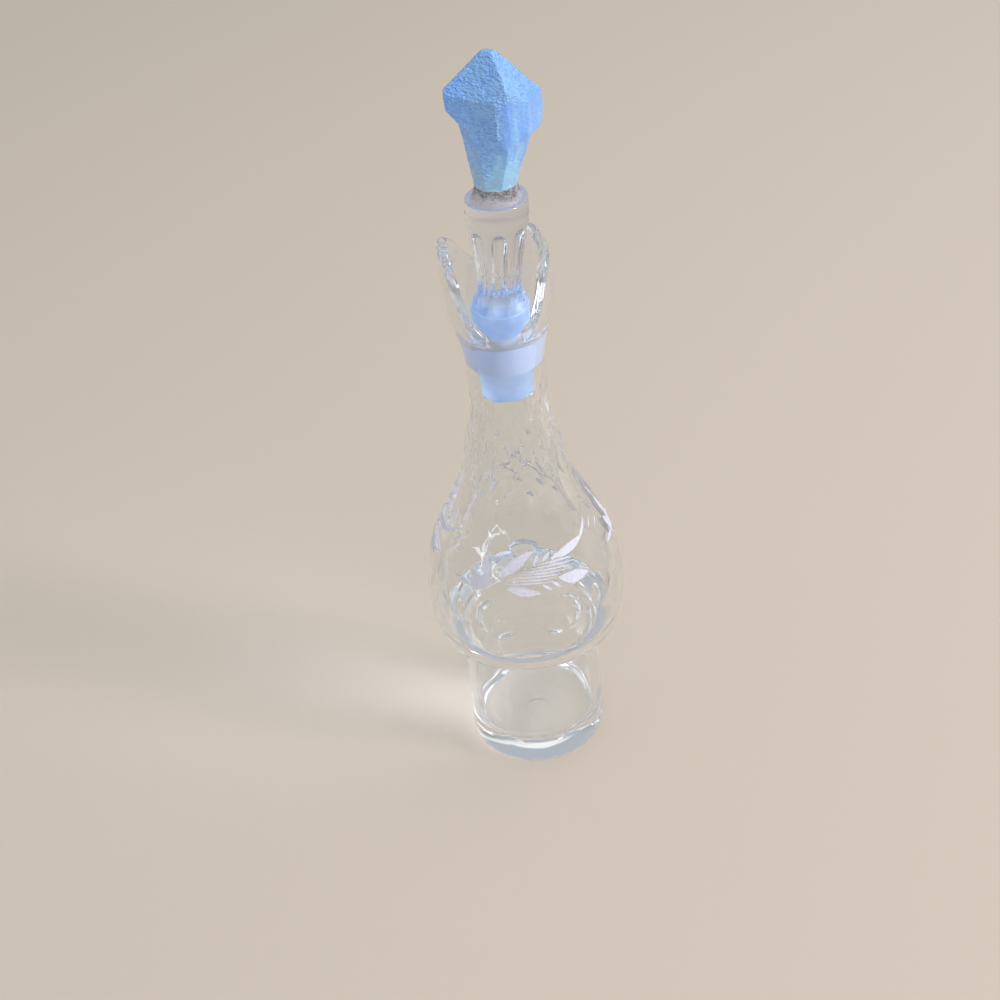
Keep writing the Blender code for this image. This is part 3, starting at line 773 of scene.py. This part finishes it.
def shank_profile():
    """Stopper from the flat top of its flange down to the rounded end of the plug."""
    top = FLANGE_RADIUS - EDGE_ROUNDING
    points = [(top * share, FLANGE_TOP) for share in (0.0, 0.25, 0.5, 0.7, 0.8, 0.9, 1.0)]
    points += arc(top, FLANGE_TOP - EDGE_ROUNDING, EDGE_ROUNDING, 90, 0, steps=5)[1:]
    points += wall_points(FLANGE_RADIUS, FLANGE_TOP - EDGE_ROUNDING, FLANGE_BASE, GROUND_ROWS)[1:]
    points += wall_points(shank_radius, FLANGE_BASE, WAIST_HEIGHT, SHANK_ROWS)[1:]
    shoulder = PLUG_TOP_RADIUS - EDGE_ROUNDING
    for row in range(1, SHOULDER_ROW_COUNT + 1):
        share = row / SHOULDER_ROW_COUNT
        points.append((mix(WAIST_RADIUS, shoulder, smoothstep(share)),
                       mix(WAIST_HEIGHT, PLUG_TOP + EDGE_ROUNDING, share)))
    points += arc(shoulder, PLUG_TOP, EDGE_ROUNDING, 70, 0, steps=4)
    low = PLUG_END + PLUG_ROUNDING
    points += wall_points(plug_radius, PLUG_TOP, low, GROUND_ROWS)[1:-1]
    end = plug_radius(low) - PLUG_ROUNDING
    points += arc(end, low, PLUG_ROUNDING, 0, -90, steps=8)
    points += [(end * share, PLUG_END) for share in (0.6, 0.3, 0.0)]
    return points


def facet(degrees, distance, height, outward, upward):
    """Plane of a facet: a place on it, and how far outwards and upwards it faces."""
    azimuth = math.radians(degrees)
    return around_axis(distance, azimuth, height), around_axis(outward, azimuth, upward)


def side_planes(upward):
    """Upright sides of the knob's girdle, or the facets that slope in from the foot of each."""
    return [facet(degrees, KNOB_HALF_WIDTH * share, mix(GIRDLE_BASE, GIRDLE_TOP, foot_share),
                  1.0, upward) for degrees, share, foot_share in KNOB_SIDE_SHARES]


def crown_planes():
    """Facets that rise from the girdle to the blunt tip."""
    planes = []
    for degrees, share, drop_share, tip_share in KNOB_CROWN_SHARES:
        distance = KNOB_HALF_WIDTH * share
        top = mix(GIRDLE_TOP, GIRDLE_BASE, drop_share)
        inward = distance - KNOB_TIP_HALF_WIDTH * tip_share
        planes.append(facet(degrees, distance, top, KNOB_TOP - top, inward))
    return planes


def taper_planes():
    """Flat sides that widen from the collar up to the underside of the girdle."""
    low = COLLAR_TOP - KNOB_SINK
    return [facet(degrees, KNOB_NECK_DISTANCE, low, GIRDLE_BASE - low,
                  KNOB_NECK_DISTANCE - KNOB_TAPER_DISTANCE * share)
            for degrees, share in KNOB_TAPER_SHARES]


def ground_block(name, low, high, planes):
    """A drum of glass between two heights that is ground flat along every plane."""
    drum = bmesh.new()
    radius = KNOB_HALF_WIDTH * 2
    bmesh.ops.create_cone(drum, cap_ends=True, segments=48, radius1=radius, radius2=radius,
                          depth=high - low)
    bmesh.ops.translate(drum, verts=drum.verts, vec=(0.0, 0.0, (low + high) / 2))
    for place, direction in planes:
        everything = drum.verts[:] + drum.edges[:] + drum.faces[:]
        cut = bmesh.ops.bisect_plane(drum, geom=everything, plane_co=place,
                                     plane_no=direction.normalized(), clear_outer=True)
        rim = [part for part in cut["geom_cut"] if isinstance(part, bmesh.types.BMEdge)]
        if rim:
            bmesh.ops.contextual_create(drum, geom=rim)
    bmesh.ops.recalc_face_normals(drum, faces=drum.faces)
    return add_piece(drum, name)


def join_to(piece, other):
    """Adds another closed shape to a piece, as one lump of glass."""
    union = piece.modifiers.new(other.name, 'BOOLEAN')
    union.operation = 'UNION'
    union.solver = 'EXACT'
    union.object = other


def settle(piece):
    """Replaces a piece's mesh with the one that its modifiers make."""
    bpy.context.view_layer.update()
    evaluated = piece.evaluated_get(bpy.context.evaluated_depsgraph_get())
    mesh = bpy.data.meshes.new_from_object(evaluated)
    piece.modifiers.clear()
    piece.data = mesh


def drop(piece):
    bpy.data.objects.remove(piece, do_unlink=True)


def add_node(tree, kind, inputs=(), output=0, **settings):
    """Adds one node, sets its properties, fills or links its inputs, and gives one output."""
    node = tree.nodes.new("ShaderNode" + kind)
    for name, value in settings.items():
        setattr(node, name, value)
    for socket, value in inputs.items() if isinstance(inputs, dict) else enumerate(inputs):
        if isinstance(value, bpy.types.NodeSocket):
            tree.links.new(value, node.inputs[socket])
        else:
            node.inputs[socket].default_value = value
    return node.outputs[output] if node.outputs else None


def glass(name, build, lamp_colour):
    """A glass whose shader build(add) gives, and which lets the light of lamps through."""
    material = bpy.data.materials.new(name)
    material.use_nodes = True
    material.node_tree.nodes.clear()
    add = partial(add_node, material.node_tree)
    shader = build(add)
    lamp_ray = add("LightPath", output="Is Shadow Ray")
    clear = add("BsdfTransparent", {"Color": lamp_colour})
    add("OutputMaterial", {"Surface": add("MixShader", (lamp_ray, shader, clear))})
    return material


def surface_noise(add, size, detail, density=(1.0, 1.0, 1.0)):
    """Noise on object coordinates with features of about the given size, which are closer
    together along an axis whose density is above 1."""
    scale = [share / size for share in density]
    place = add("Mapping", {"Vector": add("TexCoord", output="Object"), "Scale": scale})
    return add("TexNoise", {"Vector": place, "Scale": 1.0, "Detail": detail}, "Fac")


def along(add, axis, space="Object"):
    """How far a place lies along an axis."""
    return add("SeparateXYZ", (add("TexCoord", output=space),), axis)


def bottle_glass(settings):
    """Lead glass, blown and polished: colourless, very clear, with a faint ripple from the
    blowing. Where the engraver's wheel ran it is matte, so it scatters light and looks milky."""
    def build(add):
        leaf, cut, swell = [
            add("Attribute", output="Fac", attribute_name=name, attribute_type='GEOMETRY')
            for name in ("leaf", "cut", "swell")]
        edge = settings.engraving_edge / MILLIMETRE
        reach = add("Math", (swell, settings.frond_cut_share), operation='MULTIPLY')
        off_centre = add("Math", (cut, 0.5), operation='PINGPONG')
        in_cut = add("Math", (reach, off_centre), operation='SUBTRACT')
        engraved = [add("MapRange", (depth, -edge, edge)) for depth in (leaf, in_cut)]
        matte = add("Math", engraved, operation='MAXIMUM')
        grain = add("MapRange", (surface_noise(add, ENGRAVING_GRAIN, 2.0), *NOISE_SPREAD))
        milk = add("Mix", {0: grain, COLOUR_A: settings.engraving_colour,
                           COLOUR_B: settings.engraving_pale}, COLOUR_RESULT, data_type='RGBA')
        colour = add("Mix", {0: matte, COLOUR_A: settings.glass_colour, COLOUR_B: milk},
                     COLOUR_RESULT, data_type='RGBA')
        ripple = surface_noise(add, BLOWN_RIPPLE, 1.0, (1.0, 1.0, 0.5))
        clearness = (matte, 0.0, 1.0, 1.0, settings.engraving_clearness)
        return add("BsdfPrincipled", {
            "Base Color": colour, "IOR": BOTTLE_IOR,
            "Roughness": add("MapRange", (matte, 0.0, 1.0, 0.0, settings.engraving_roughness)),
            "Transmission Weight": add("MapRange", clearness),
            "Normal": add("Bump", {"Height": ripple, "Strength": 0.25, "Distance": 0.0003})})
    return glass("lead_glass_polished", build, lamp_colour=linear("#ECEEF1"))


def plug_glass(settings):
    """The plug, ground to the seat with wet grit: a frosted, finely pitted skin that fades into
    the polish of the shank, with cloudy patches where the grit bit less."""
    def build(add):
        pits = surface_noise(add, PLUG_PITS, 3.0)
        cloud = add("MapRange", (surface_noise(add, PLUG_CLOUDS, 2.0), *NOISE_SPREAD))
        edge = WAIST_HEIGHT - FROST_DROP
        polish = add("MapRange", (along(add, "Z"), edge - FROST_FADE, edge))
        skin = add("Mix", {0: cloud, COLOUR_A: settings.plug_colour,
                           COLOUR_B: settings.plug_pale}, COLOUR_RESULT, data_type='RGBA')
        colour = add("Mix", {0: polish, COLOUR_A: skin, COLOUR_B: settings.shank_colour},
                     COLOUR_RESULT, data_type='RGBA')
        return add("BsdfPrincipled", {
            "Base Color": colour, "IOR": STOPPER_IOR,
            "Roughness": add("MapRange", (polish, 0.0, 1.0, PLUG_ROUGHNESS, 0.05)),
            "Transmission Weight": add("MapRange", (polish, 0.0, 1.0, PLUG_CLEARNESS, 1.0)),
            "Normal": add("Bump", {"Height": pits, "Strength": 0.5, "Distance": 0.00003})})
    return glass("stopper_glass_ground_plug", build, lamp_colour=linear("#DDE4EE"))


def seat_glass(settings):
    """The seat in the neck, ground to the plug, whose frosting fades out up the mouth."""
    def build(add):
        frost = add("Attribute", output="Fac", attribute_name="ground", attribute_type='GEOMETRY')
        colour = add("Mix", {0: frost, COLOUR_A: settings.glass_colour,
                             COLOUR_B: settings.seat_colour}, COLOUR_RESULT, data_type='RGBA')
        return add("BsdfPrincipled", {
            "Base Color": colour, "IOR": BOTTLE_IOR,
            "Roughness": add("MapRange", (frost, 0.0, 1.0, 0.0, SEAT_ROUGHNESS)),
            "Transmission Weight": add("MapRange", (frost, 0.0, 1.0, 1.0, SEAT_CLEARNESS))})
    return glass("lead_glass_ground_seat", build, lamp_colour=linear("#E8EDF5"))


def collar_glass(settings):
    """The rough collar, as it was broken from the mould: pitted, darker and browner in its pits and
    up its side, paler on the flat top.
    """
    def build(add):
        lumps = surface_noise(add, COLLAR_LUMPS, 3.0, (1.0, 1.0, 1.4))
        patch = surface_noise(add, COLLAR_PATCHES, 1.0)
        flat_top = add("MapRange", (along(add, "Z"), FLANGE_TOP + COLLAR_HEIGHT / 3, FLANGE_TOP))
        # Paler and less brown on the lumps, in patches and on the flat top, which is also smoother
        paleness = lumps
        for pattern, weight in ((patch, 1.2), (flat_top, 0.4)):
            paleness = add("Math", (pattern, weight, paleness), operation='MULTIPLY_ADD')
        paleness = add("MapRange", (paleness, 0.88, 1.22))
        relief = add("Math", (flat_top, -0.85, 1.0), operation='MULTIPLY_ADD')
        relief = add("Math", (lumps, relief), operation='MULTIPLY')
        colour = add("Mix", {0: paleness, COLOUR_A: settings.collar_brown_colour,
                             COLOUR_B: settings.collar_colour}, COLOUR_RESULT, data_type='RGBA')
        return add("BsdfPrincipled", {
            "Base Color": colour, "IOR": STOPPER_IOR,
            "Roughness": add("MapRange", (lumps, 0.3, 0.7, 0.55, 0.25)),
            "Transmission Weight": add("MapRange", (paleness, 0.0, 1.0, 0.2, 0.6)),
            "Normal": add("Bump", {"Height": relief, "Distance": 0.0005, "Strength": 1.0})})
    return glass("stopper_glass_rough_collar", build, lamp_colour=linear("#C8C4C8"))


def shank_glass(settings):
    """The stopper's shank, cut and polished: clear, with the faintest blue of thick glass."""
    def build(add):
        ripple = surface_noise(add, POLISHED_RIPPLE, 1.0)
        return add("BsdfPrincipled", {
            "Base Color": settings.shank_colour, "Roughness": 0.0, "IOR": STOPPER_IOR,
            "Transmission Weight": 1.0,
            "Normal": add("Bump", {"Height": ripple, "Strength": 0.15, "Distance": 0.0002})})
    return glass("stopper_glass_polished", build, lamp_colour=linear("#F0F4FA"))


def knob_glass(settings):
    """The knob, ground by hand and dipped in acid: icy, with fine level ripples that the wheel
    left, so it glows with the light behind it and shows no clear image. Its right side and its
    lower end were ground more smoothly and carry paler and darker upright streaks, and a faint
    sheen lies over all. Its colour also holds painted light: the crests are painted paler, a
    painted highlight, the troughs darker, painted shade, and the slim end and the lower right
    panels paler, a painted glow."""
    def build(add):
        ripple = surface_noise(add, settings.ripple_spacing, 1.0, (0.55, 0.55, 1.0))
        fine = surface_noise(add, KNOB_PITS, 2.0, (0.8, 0.8, 1.2))
        patch = surface_noise(add, KNOB_PATCHES, 1.0)
        streak = surface_noise(add, KNOB_STREAKS, 1.0, (1.0, 1.0, 0.08))
        slim = add("MapRange", (along(add, "Z"), GIRDLE_BASE, COLLAR_TOP))
        across = add("Math", (slim, settings.knob_panel_spread, along(add, "X")),
                     operation='MULTIPLY_ADD')
        right = add("MapRange", (across, *settings.knob_panels))
        below = add("MapRange", (along(add, "Z"), GIRDLE_TOP, GIRDLE_TOP - KNOB_SINK))
        even = add("Math", (right, below), operation='MULTIPLY')
        # Ripples and pits half as deep, about a mean of zero. The even sides keep a quarter
        level = add("Math", (ripple, -0.75), operation='ADD')
        lumps = add("Math", (fine, 0.5, level), operation='MULTIPLY_ADD')
        left_over = add("Math", (even, -0.75, 1.0), operation='MULTIPLY_ADD')
        relief = add("Math", (lumps, left_over), operation='MULTIPLY')
        # Paler in random patches and along the upright streaks of the even sides. Painted light as
        # well: crests painted paler as a painted highlight, troughs darker as painted shade, and
        # the slim end and lower even sides painted paler as a painted glow
        painted_glow_and_streaks = add("Math", (slim, 0.45, -0.65), operation='MULTIPLY_ADD')
        painted_glow_and_streaks = add("Math", (streak, painted_glow_and_streaks), operation='ADD')
        tone_and_painted_light = add("Math", (even, painted_glow_and_streaks), operation='MULTIPLY')
        for pattern, weight in ((patch, 0.35), (slim, 0.20), (relief, 0.7)):
            tone_and_painted_light = add("Math", (pattern, weight, tone_and_painted_light), operation='MULTIPLY_ADD')
        tone_and_painted_light = add("MapRange", (tone_and_painted_light, 0.02, 0.42))
        colour = add("Mix", {0: tone_and_painted_light, COLOUR_A: settings.knob_colour,
                             COLOUR_B: settings.knob_pale_and_painted_light}, COLOUR_RESULT, data_type='RGBA')
        depth = settings.ripple_depth
        return add("BsdfPrincipled", {
            "Base Color": colour, "Roughness": settings.knob_roughness, "IOR": STOPPER_IOR,
            "Coat Weight": settings.knob_sheen, "Coat Roughness": 0.12,
            "Transmission Weight": settings.knob_clearness,
            "Normal": add("Bump", {"Height": relief, "Strength": 1.0, "Distance": depth})})
    return glass("stopper_glass_acid_ground", build, lamp_colour=linear("#D6E2F4"))


def colour_setting(name, description, code):
    return FloatVectorProperty(name=name, description=description, size=4, min=0.0, max=1.0,
                               subtype='COLOR', default=linear(code))


def length_setting(name, description, default, least=0.0):
    return FloatProperty(name=name, description=description, default=default, min=least,
                         unit='LENGTH', precision=5)


def share_setting(name, description, default, least=0.0, most=1.0):
    return FloatProperty(name=name, description=description, default=default, min=least,
                         max=most, subtype='FACTOR')


class CarafeBottleSettings(bpy.types.PropertyGroup):
    """Sizes and colours of the bottle's glass and engraving"""
    columns: IntProperty(
        name="Columns", description="Columns of faces round the bottle", default=300, min=64)
    front_crowding: share_setting(
        "Crowding to the front", "How much finer the mesh is at the front", 0.30, most=0.6)
    unevenness: length_setting("Unevenness", "How far the blown inner wall waves", 0.00012)
    engraving_depth: length_setting("Engraving depth", "Depth of the engraved leaves", 0.00012)
    engraving_edge: length_setting(
        "Engraving edge", "Half width of the fade at a leaf's edge", 0.00005, least=0.00001)
    engraving_roughness: share_setting(
        "Engraving roughness", "Roughness of the engraved leaves", 0.55)
    engraving_clearness: share_setting(
        "Engraving clearness", "How much light the engraved leaves let through", 0.25)
    frond_cut_share: share_setting(
        "Frond cuts", "Half width of a frond's cut as a share of their spacing", 0.26,
        least=0.05, most=0.5)
    glass_colour: colour_setting("Glass", "Tint of the clear glass", "#F8FAFB")
    engraving_colour: colour_setting("Engraving", "Colour of the matte leaves", "#E0DCE7")
    engraving_pale: colour_setting("Pale engraving", "Colour of their paler grain", "#EEEBF4")
    # Its blue tint is painted light: the blue of sky light on the frosted seat
    seat_colour: colour_setting("Seat", "Colour of the ground seat", "#DCE6FC")


class CarafeStopperSettings(bpy.types.PropertyGroup):
    """Sizes and colours of the stopper's glass"""
    columns: IntProperty(
        name="Columns", description="Columns of faces round the shank", default=192, min=48)
    knob_grain: length_setting(
        "Knob grain", "Size of the faces that the knob is made of", 0.00021, least=0.0001)
    wave_depth: length_setting(
        "Wave depth", "Depth of the broad waves left by the grinding wheel", 0.00012)
    ripple_spacing: length_setting(
        "Ripple spacing", "Height from one fine ripple to the next", 0.00052, least=0.0002)
    ripple_depth: length_setting("Ripple depth", "Depth of the fine ripples", 0.00072)
    knob_panels: FloatVectorProperty(
        name="Knob's even panels", size=2, default=(0.0030, 0.0050), unit='LENGTH', precision=5,
        description="Where the ripples start to fade to the right, and where they have faded")
    knob_panel_spread: length_setting(
        "Panels' spread", "How far the even panels spread left at the lower end", 0.0050)
    # The blue tint of the plug and its patches is painted light: the blue of sky light on frosted
    # glass
    plug_colour: colour_setting("Plug", "Colour of the frosted plug", "#C0D9F8")
    plug_pale: colour_setting("Pale plug", "Colour of its cloudy patches", "#D9ECFF")
    shank_colour: colour_setting("Shank", "Tint of the clear shank", "#F3F6FC")
    collar_colour: colour_setting("Collar", "Colour of the rough collar", "#C9CAD8")
    # The brown that the collar darkens to in its pits and up its side
    collar_brown_colour: colour_setting("Grime", "Colour of the grime in its pits", "#7A665C")
    # The blue tint of the knob's two colours is painted light: the blue of sky light on frosted
    # glass
    knob_colour: colour_setting("Knob", "Colour of the icy knob", "#8ABCFA")
    # The knob's tone runs to this pale colour in random patches, and as painted light: a painted
    # highlight on the crests, a painted glow at the slim end and on the lower right panels
    knob_pale_and_painted_light: colour_setting("Pale knob", "Colour of its crests", "#ADE0FF")
    knob_sheen: share_setting(
        "Knob sheen", "Strength of the smooth sheen over the ripples", 0.5)
    knob_roughness: share_setting("Knob roughness", "Roughness of the knob", 0.12)
    knob_clearness: share_setting("Knob clearness", "How much light the knob lets through", 0.24)


class CarafeStageSettings(bpy.types.PropertyGroup):
    """Floor, light and camera"""
    floor_colour: colour_setting("Floor", "Colour of the floor", "#D3C3AE")
    sky_colour: colour_setting("Sky", "Colour of the light from all round", "#C4CEDE")
    sky_strength: FloatProperty(
        name="Sky strength", description="Strength of the light from all round", default=0.76,
        min=0.0)
    lamp_power: FloatProperty(
        name="Lamp power", description="Power that each lamp's share is taken of", default=11.0,
        min=0.0, unit='POWER')
    wall_colour: colour_setting("Wall", "Colour of the backdrop's wall", "#DDE6F2")
    wall_foot_colour: colour_setting("Wall's foot", "Colour of the backdrop's foot", "#B6B0A6")
    wall_strength: share_setting(
        "Wall strength", "Brightness of the backdrop to eye, gloss and glass", 0.62)
    wall_rise: share_setting(
        "Wall's rise", "How high the foot's colour reaches, as the sine of an angle", 0.5,
        least=0.01)
    floor_gap: length_setting("Floor gap", "Air between the foot and the floor", 0.0002)
    bounces: IntProperty(
        name="Bounces", description="Turns that light may take inside the glass", default=32,
        min=4)


class CARAFE_OT_bottle(bpy.types.Operator):
    """Builds the blown, cut and engraved bottle"""
    bl_idname = "carafe.make_bottle"
    bl_label = "Bottle"

    def execute(self, context):
        settings = context.scene.carafe_bottle
        profile = inner_profile() + mouth_profile() + outer_profile()
        shape = spin_profile(profile, settings.columns)
        marks = ("leaf", "cut", "swell", "ground")
        layers = [shape.verts.layers.float.new(name) for name in marks]
        for vertex in shape.verts:
            radius = math.hypot(vertex.co.x, vertex.co.y)
            azimuth = math.atan2(vertex.co.y, vertex.co.x)
            azimuth = crowd_to_front(azimuth, settings.front_crowding)
            plain = around_axis(radius, azimuth, vertex.co.z)
            place, engraved = bottle_point(plain, settings.unevenness)
            frosted = smoothstep((GROUND_TOP - place.z) / GROUND_FADE)
            for layer, value in zip(layers, (*engraved, frosted)):
                vertex[layer] = value
            depth = settings.engraving_depth * smoothstep(engraved[0] / LEAF_SLOPE)
            outward = Vector((place.x, place.y, 0.0)).normalized()
            vertex.co = place - outward * depth
        for face in shape.faces:
            centre = face.calc_center_median()
            in_seat = SEAT_BOTTOM < centre.z < GROUND_TOP
            inner = math.hypot(centre.x, centre.y) < mouth_radius(centre.z) - LIP_RADIUS
            face.material_index = 1 if in_seat and inner else 0
        piece = add_piece(shape, "bottle_glass")
        carry(piece, "bottle", (bottle_glass(settings), seat_glass(settings)),
              sharp_degrees=40)
        return {'FINISHED'}


class CARAFE_OT_stopper(bpy.types.Operator):
    """Builds the solid stopper with plug, fluted shank, flange and knob"""
    bl_idname = "carafe.make_stopper"
    bl_label = "Stopper"

    def execute(self, context):
        settings = context.scene.carafe_stopper
        sides = side_planes(upward=0.0)
        undersides = side_planes(upward=-1.0)
        knob = ground_block("knob_head", COLLAR_TOP, KNOB_TOP, sides + undersides + crown_planes())
        taper = ground_block("knob_taper", COLLAR_TOP - KNOB_SINK, (GIRDLE_BASE + GIRDLE_TOP) / 2,
                             taper_planes() + sides)
        collar = add_piece(spin_profile(collar_profile(), COLLAR_COLUMNS), "collar")
        join_to(knob, taper)
        join_to(knob, collar)
        remesh = knob.modifiers.new("even faces", 'REMESH')
        remesh.mode = 'VOXEL'
        remesh.voxel_size = settings.knob_grain
        settle(knob)
        drop(taper)
        drop(collar)
        self.grind(knob.data, settings)
        shape = spin_profile(shank_profile(), settings.columns)
        for vertex in shape.verts:
            vertex.co = lean(flute_cut(vertex.co))
        piece = add_piece(shape, "stopper_glass")
        join_to(piece, knob)
        settle(piece)
        drop(knob)
        self.sort_faces(piece.data)
        finishes = [make(settings) for make in (shank_glass, plug_glass, knob_glass, collar_glass)]
        carry(piece, "stopper", finishes, sharp_degrees=45)
        return {'FINISHED'}

    def grind(self, mesh, settings):
        """Softens the edges between facets, then waves the surface as a hand-held wheel does."""
        work = bmesh.new()
        work.from_mesh(mesh)
        for _ in range(KNOB_SOFTENING_ROUNDS):
            bmesh.ops.smooth_vert(work, verts=work.verts, factor=0.5, use_axis_x=True,
                                  use_axis_y=True, use_axis_z=True)
        work.normal_update()
        moved = []
        for vertex in work.verts:
            place = vertex.co
            lump = noise.noise(place / KNOB_LUMP)
            sample = Vector((place.x, place.y, place.z * KNOB_NICK_DENSITY)) / KNOB_NICK
            wave = lump + KNOB_NICK_SHARE * noise.noise(sample)
            moved.append(place + vertex.normal * settings.wave_depth * wave)
        for vertex, place in zip(work.verts, moved):
            place.z = min(place.z, KNOB_TOP)
            vertex.co = lean(place)
        work.to_mesh(mesh)
        work.free()

    def sort_faces(self, mesh):
        """Gives each face its finish: 0 polished, 1 ground, 2 icy knob, 3 rough collar."""
        for face in mesh.polygons:
            height = face.center.z
            finish = 0
            if height < WAIST_HEIGHT - FROST_DROP:
                finish = 1
            elif height > COLLAR_TOP - KNOB_SINK:
                finish = 2
            elif height > FLANGE_TOP - EDGE_ROUNDING / 4:
                finish = 3
            face.material_index = finish


class CARAFE_OT_stage(bpy.types.Operator):
    """Sets up the floor, the soft lamps and the camera"""
    bl_idname = "carafe.make_stage"
    bl_label = "Stage"

    def execute(self, context):
        settings = context.scene.carafe_stage
        self.make_floor(settings)
        self.make_sky(settings, context.scene)
        for name, place, size, share, colour in LAMPS:
            self.add_lamp(name, place, size, settings.lamp_power * share, colour)
        self.make_camera(context.scene)
        light = context.scene.cycles
        light.max_bounces = light.glossy_bounces = light.transmission_bounces = settings.bounces
        context.scene.view_settings.view_transform = 'Standard'
        return {'FINISHED'}

    def make_floor(self, settings):
        shape = bmesh.new()
        bmesh.ops.create_grid(shape, x_segments=1, y_segments=1, size=FLOOR_REACH)
        bmesh.ops.translate(shape, verts=shape.verts, vec=(0.0, 0.0, -settings.floor_gap))
        floor = add_piece(shape, "floor")
        material = bpy.data.materials.new("paper_floor_matte")
        material.use_nodes = True
        shader = material.node_tree.nodes["Principled BSDF"]
        shader.inputs["Base Color"].default_value = settings.floor_colour
        shader.inputs["Roughness"].default_value = PAPER_ROUGHNESS
        floor.data.materials.append(material)

    def make_sky(self, settings, scene):
        """Even light from all round. Eye, gloss and glass alike see a backdrop that runs from
        the floor's colour at its foot up into a cool, pale wall."""
        world = bpy.data.worlds.new("studio")
        world.use_nodes = True
        world.node_tree.nodes.clear()
        add = partial(add_node, world.node_tree)
        seen = add("LightPath", output="Is Camera Ray")
        for ray in ("Is Glossy Ray", "Is Transmission Ray"):
            seen = add("Math", (seen, add("LightPath", output=ray)), operation='MAXIMUM')
        rise = add("MapRange", (along(add, "Z", "Generated"), 0.0, settings.wall_rise))
        colour = add("Mix", {0: rise, COLOUR_A: settings.wall_foot_colour,
                             COLOUR_B: settings.wall_colour}, COLOUR_RESULT, data_type='RGBA')
        light = add("Background", (settings.sky_colour, settings.sky_strength))
        walls = add("Background", (colour, settings.wall_strength))
        add("OutputWorld", {"Surface": add("MixShader", (seen, light, walls))})
        scene.world = world

    def add_lamp(self, name, place, size, power, colour):
        data = bpy.data.lights.new(name, 'AREA')
        data.shape = 'RECTANGLE'
        data.size, data.size_y = size
        data.energy = power
        data.color = linear(colour)[:3]
        lamp = bpy.data.objects.new(name, data)
        lamp.location = place
        middle = Vector((0.0, 0.0, KNOB_TOP / 2))
        lamp.rotation_euler = (middle - lamp.location).to_track_quat('-Z', 'Y').to_euler()
        bpy.context.scene.collection.objects.link(lamp)

    def make_camera(self, scene):
        data = bpy.data.cameras.new("camera")
        data.sensor_width = CAMERA_SENSOR
        data.lens = CAMERA_LENS
        data.clip_start = CAMERA_NEAR
        camera = bpy.data.objects.new("camera", data)
        turn = (Matrix.Rotation(math.radians(CAMERA_YAW), 4, 'Z')
                @ Matrix.Rotation(math.radians(90.0 - CAMERA_DOWN), 4, 'X')
                @ Matrix.Rotation(math.radians(CAMERA_ROLL), 4, 'Z'))
        camera.matrix_world = Matrix.Translation(CAMERA_PLACE) @ turn
        scene.collection.objects.link(camera)
        scene.camera = camera


class CARAFE_PT_panel(bpy.types.Panel):
    """Lists what the add-on builds"""
    bl_idname = "CARAFE_PT_panel"
    bl_label = "Carafe"
    bl_space_type = 'VIEW_3D'
    bl_region_type = 'UI'
    bl_category = "Carafe"

    def draw(self, context):
        for operator in OPERATORS:
            self.layout.operator(operator.bl_idname)


OPERATORS = (CARAFE_OT_bottle, CARAFE_OT_stopper, CARAFE_OT_stage)
SETTINGS = {
    "carafe_bottle": CarafeBottleSettings,
    "carafe_stopper": CarafeStopperSettings,
    "carafe_stage": CarafeStageSettings,
}


def register():
    for item in (*SETTINGS.values(), *OPERATORS, CARAFE_PT_panel):
        bpy.utils.register_class(item)
    for name, group in SETTINGS.items():
        setattr(bpy.types.Scene, name, PointerProperty(type=group))


def unregister():
    for name in SETTINGS:
        delattr(bpy.types.Scene, name)
    for item in (CARAFE_PT_panel, *reversed(OPERATORS), *reversed(SETTINGS.values())):
        bpy.utils.unregister_class(item)


def main():
    register()
    bpy.ops.carafe.make_bottle()
    bpy.ops.carafe.make_stopper()
    bpy.ops.carafe.make_stage()


if __name__ == "__main__":
    main()
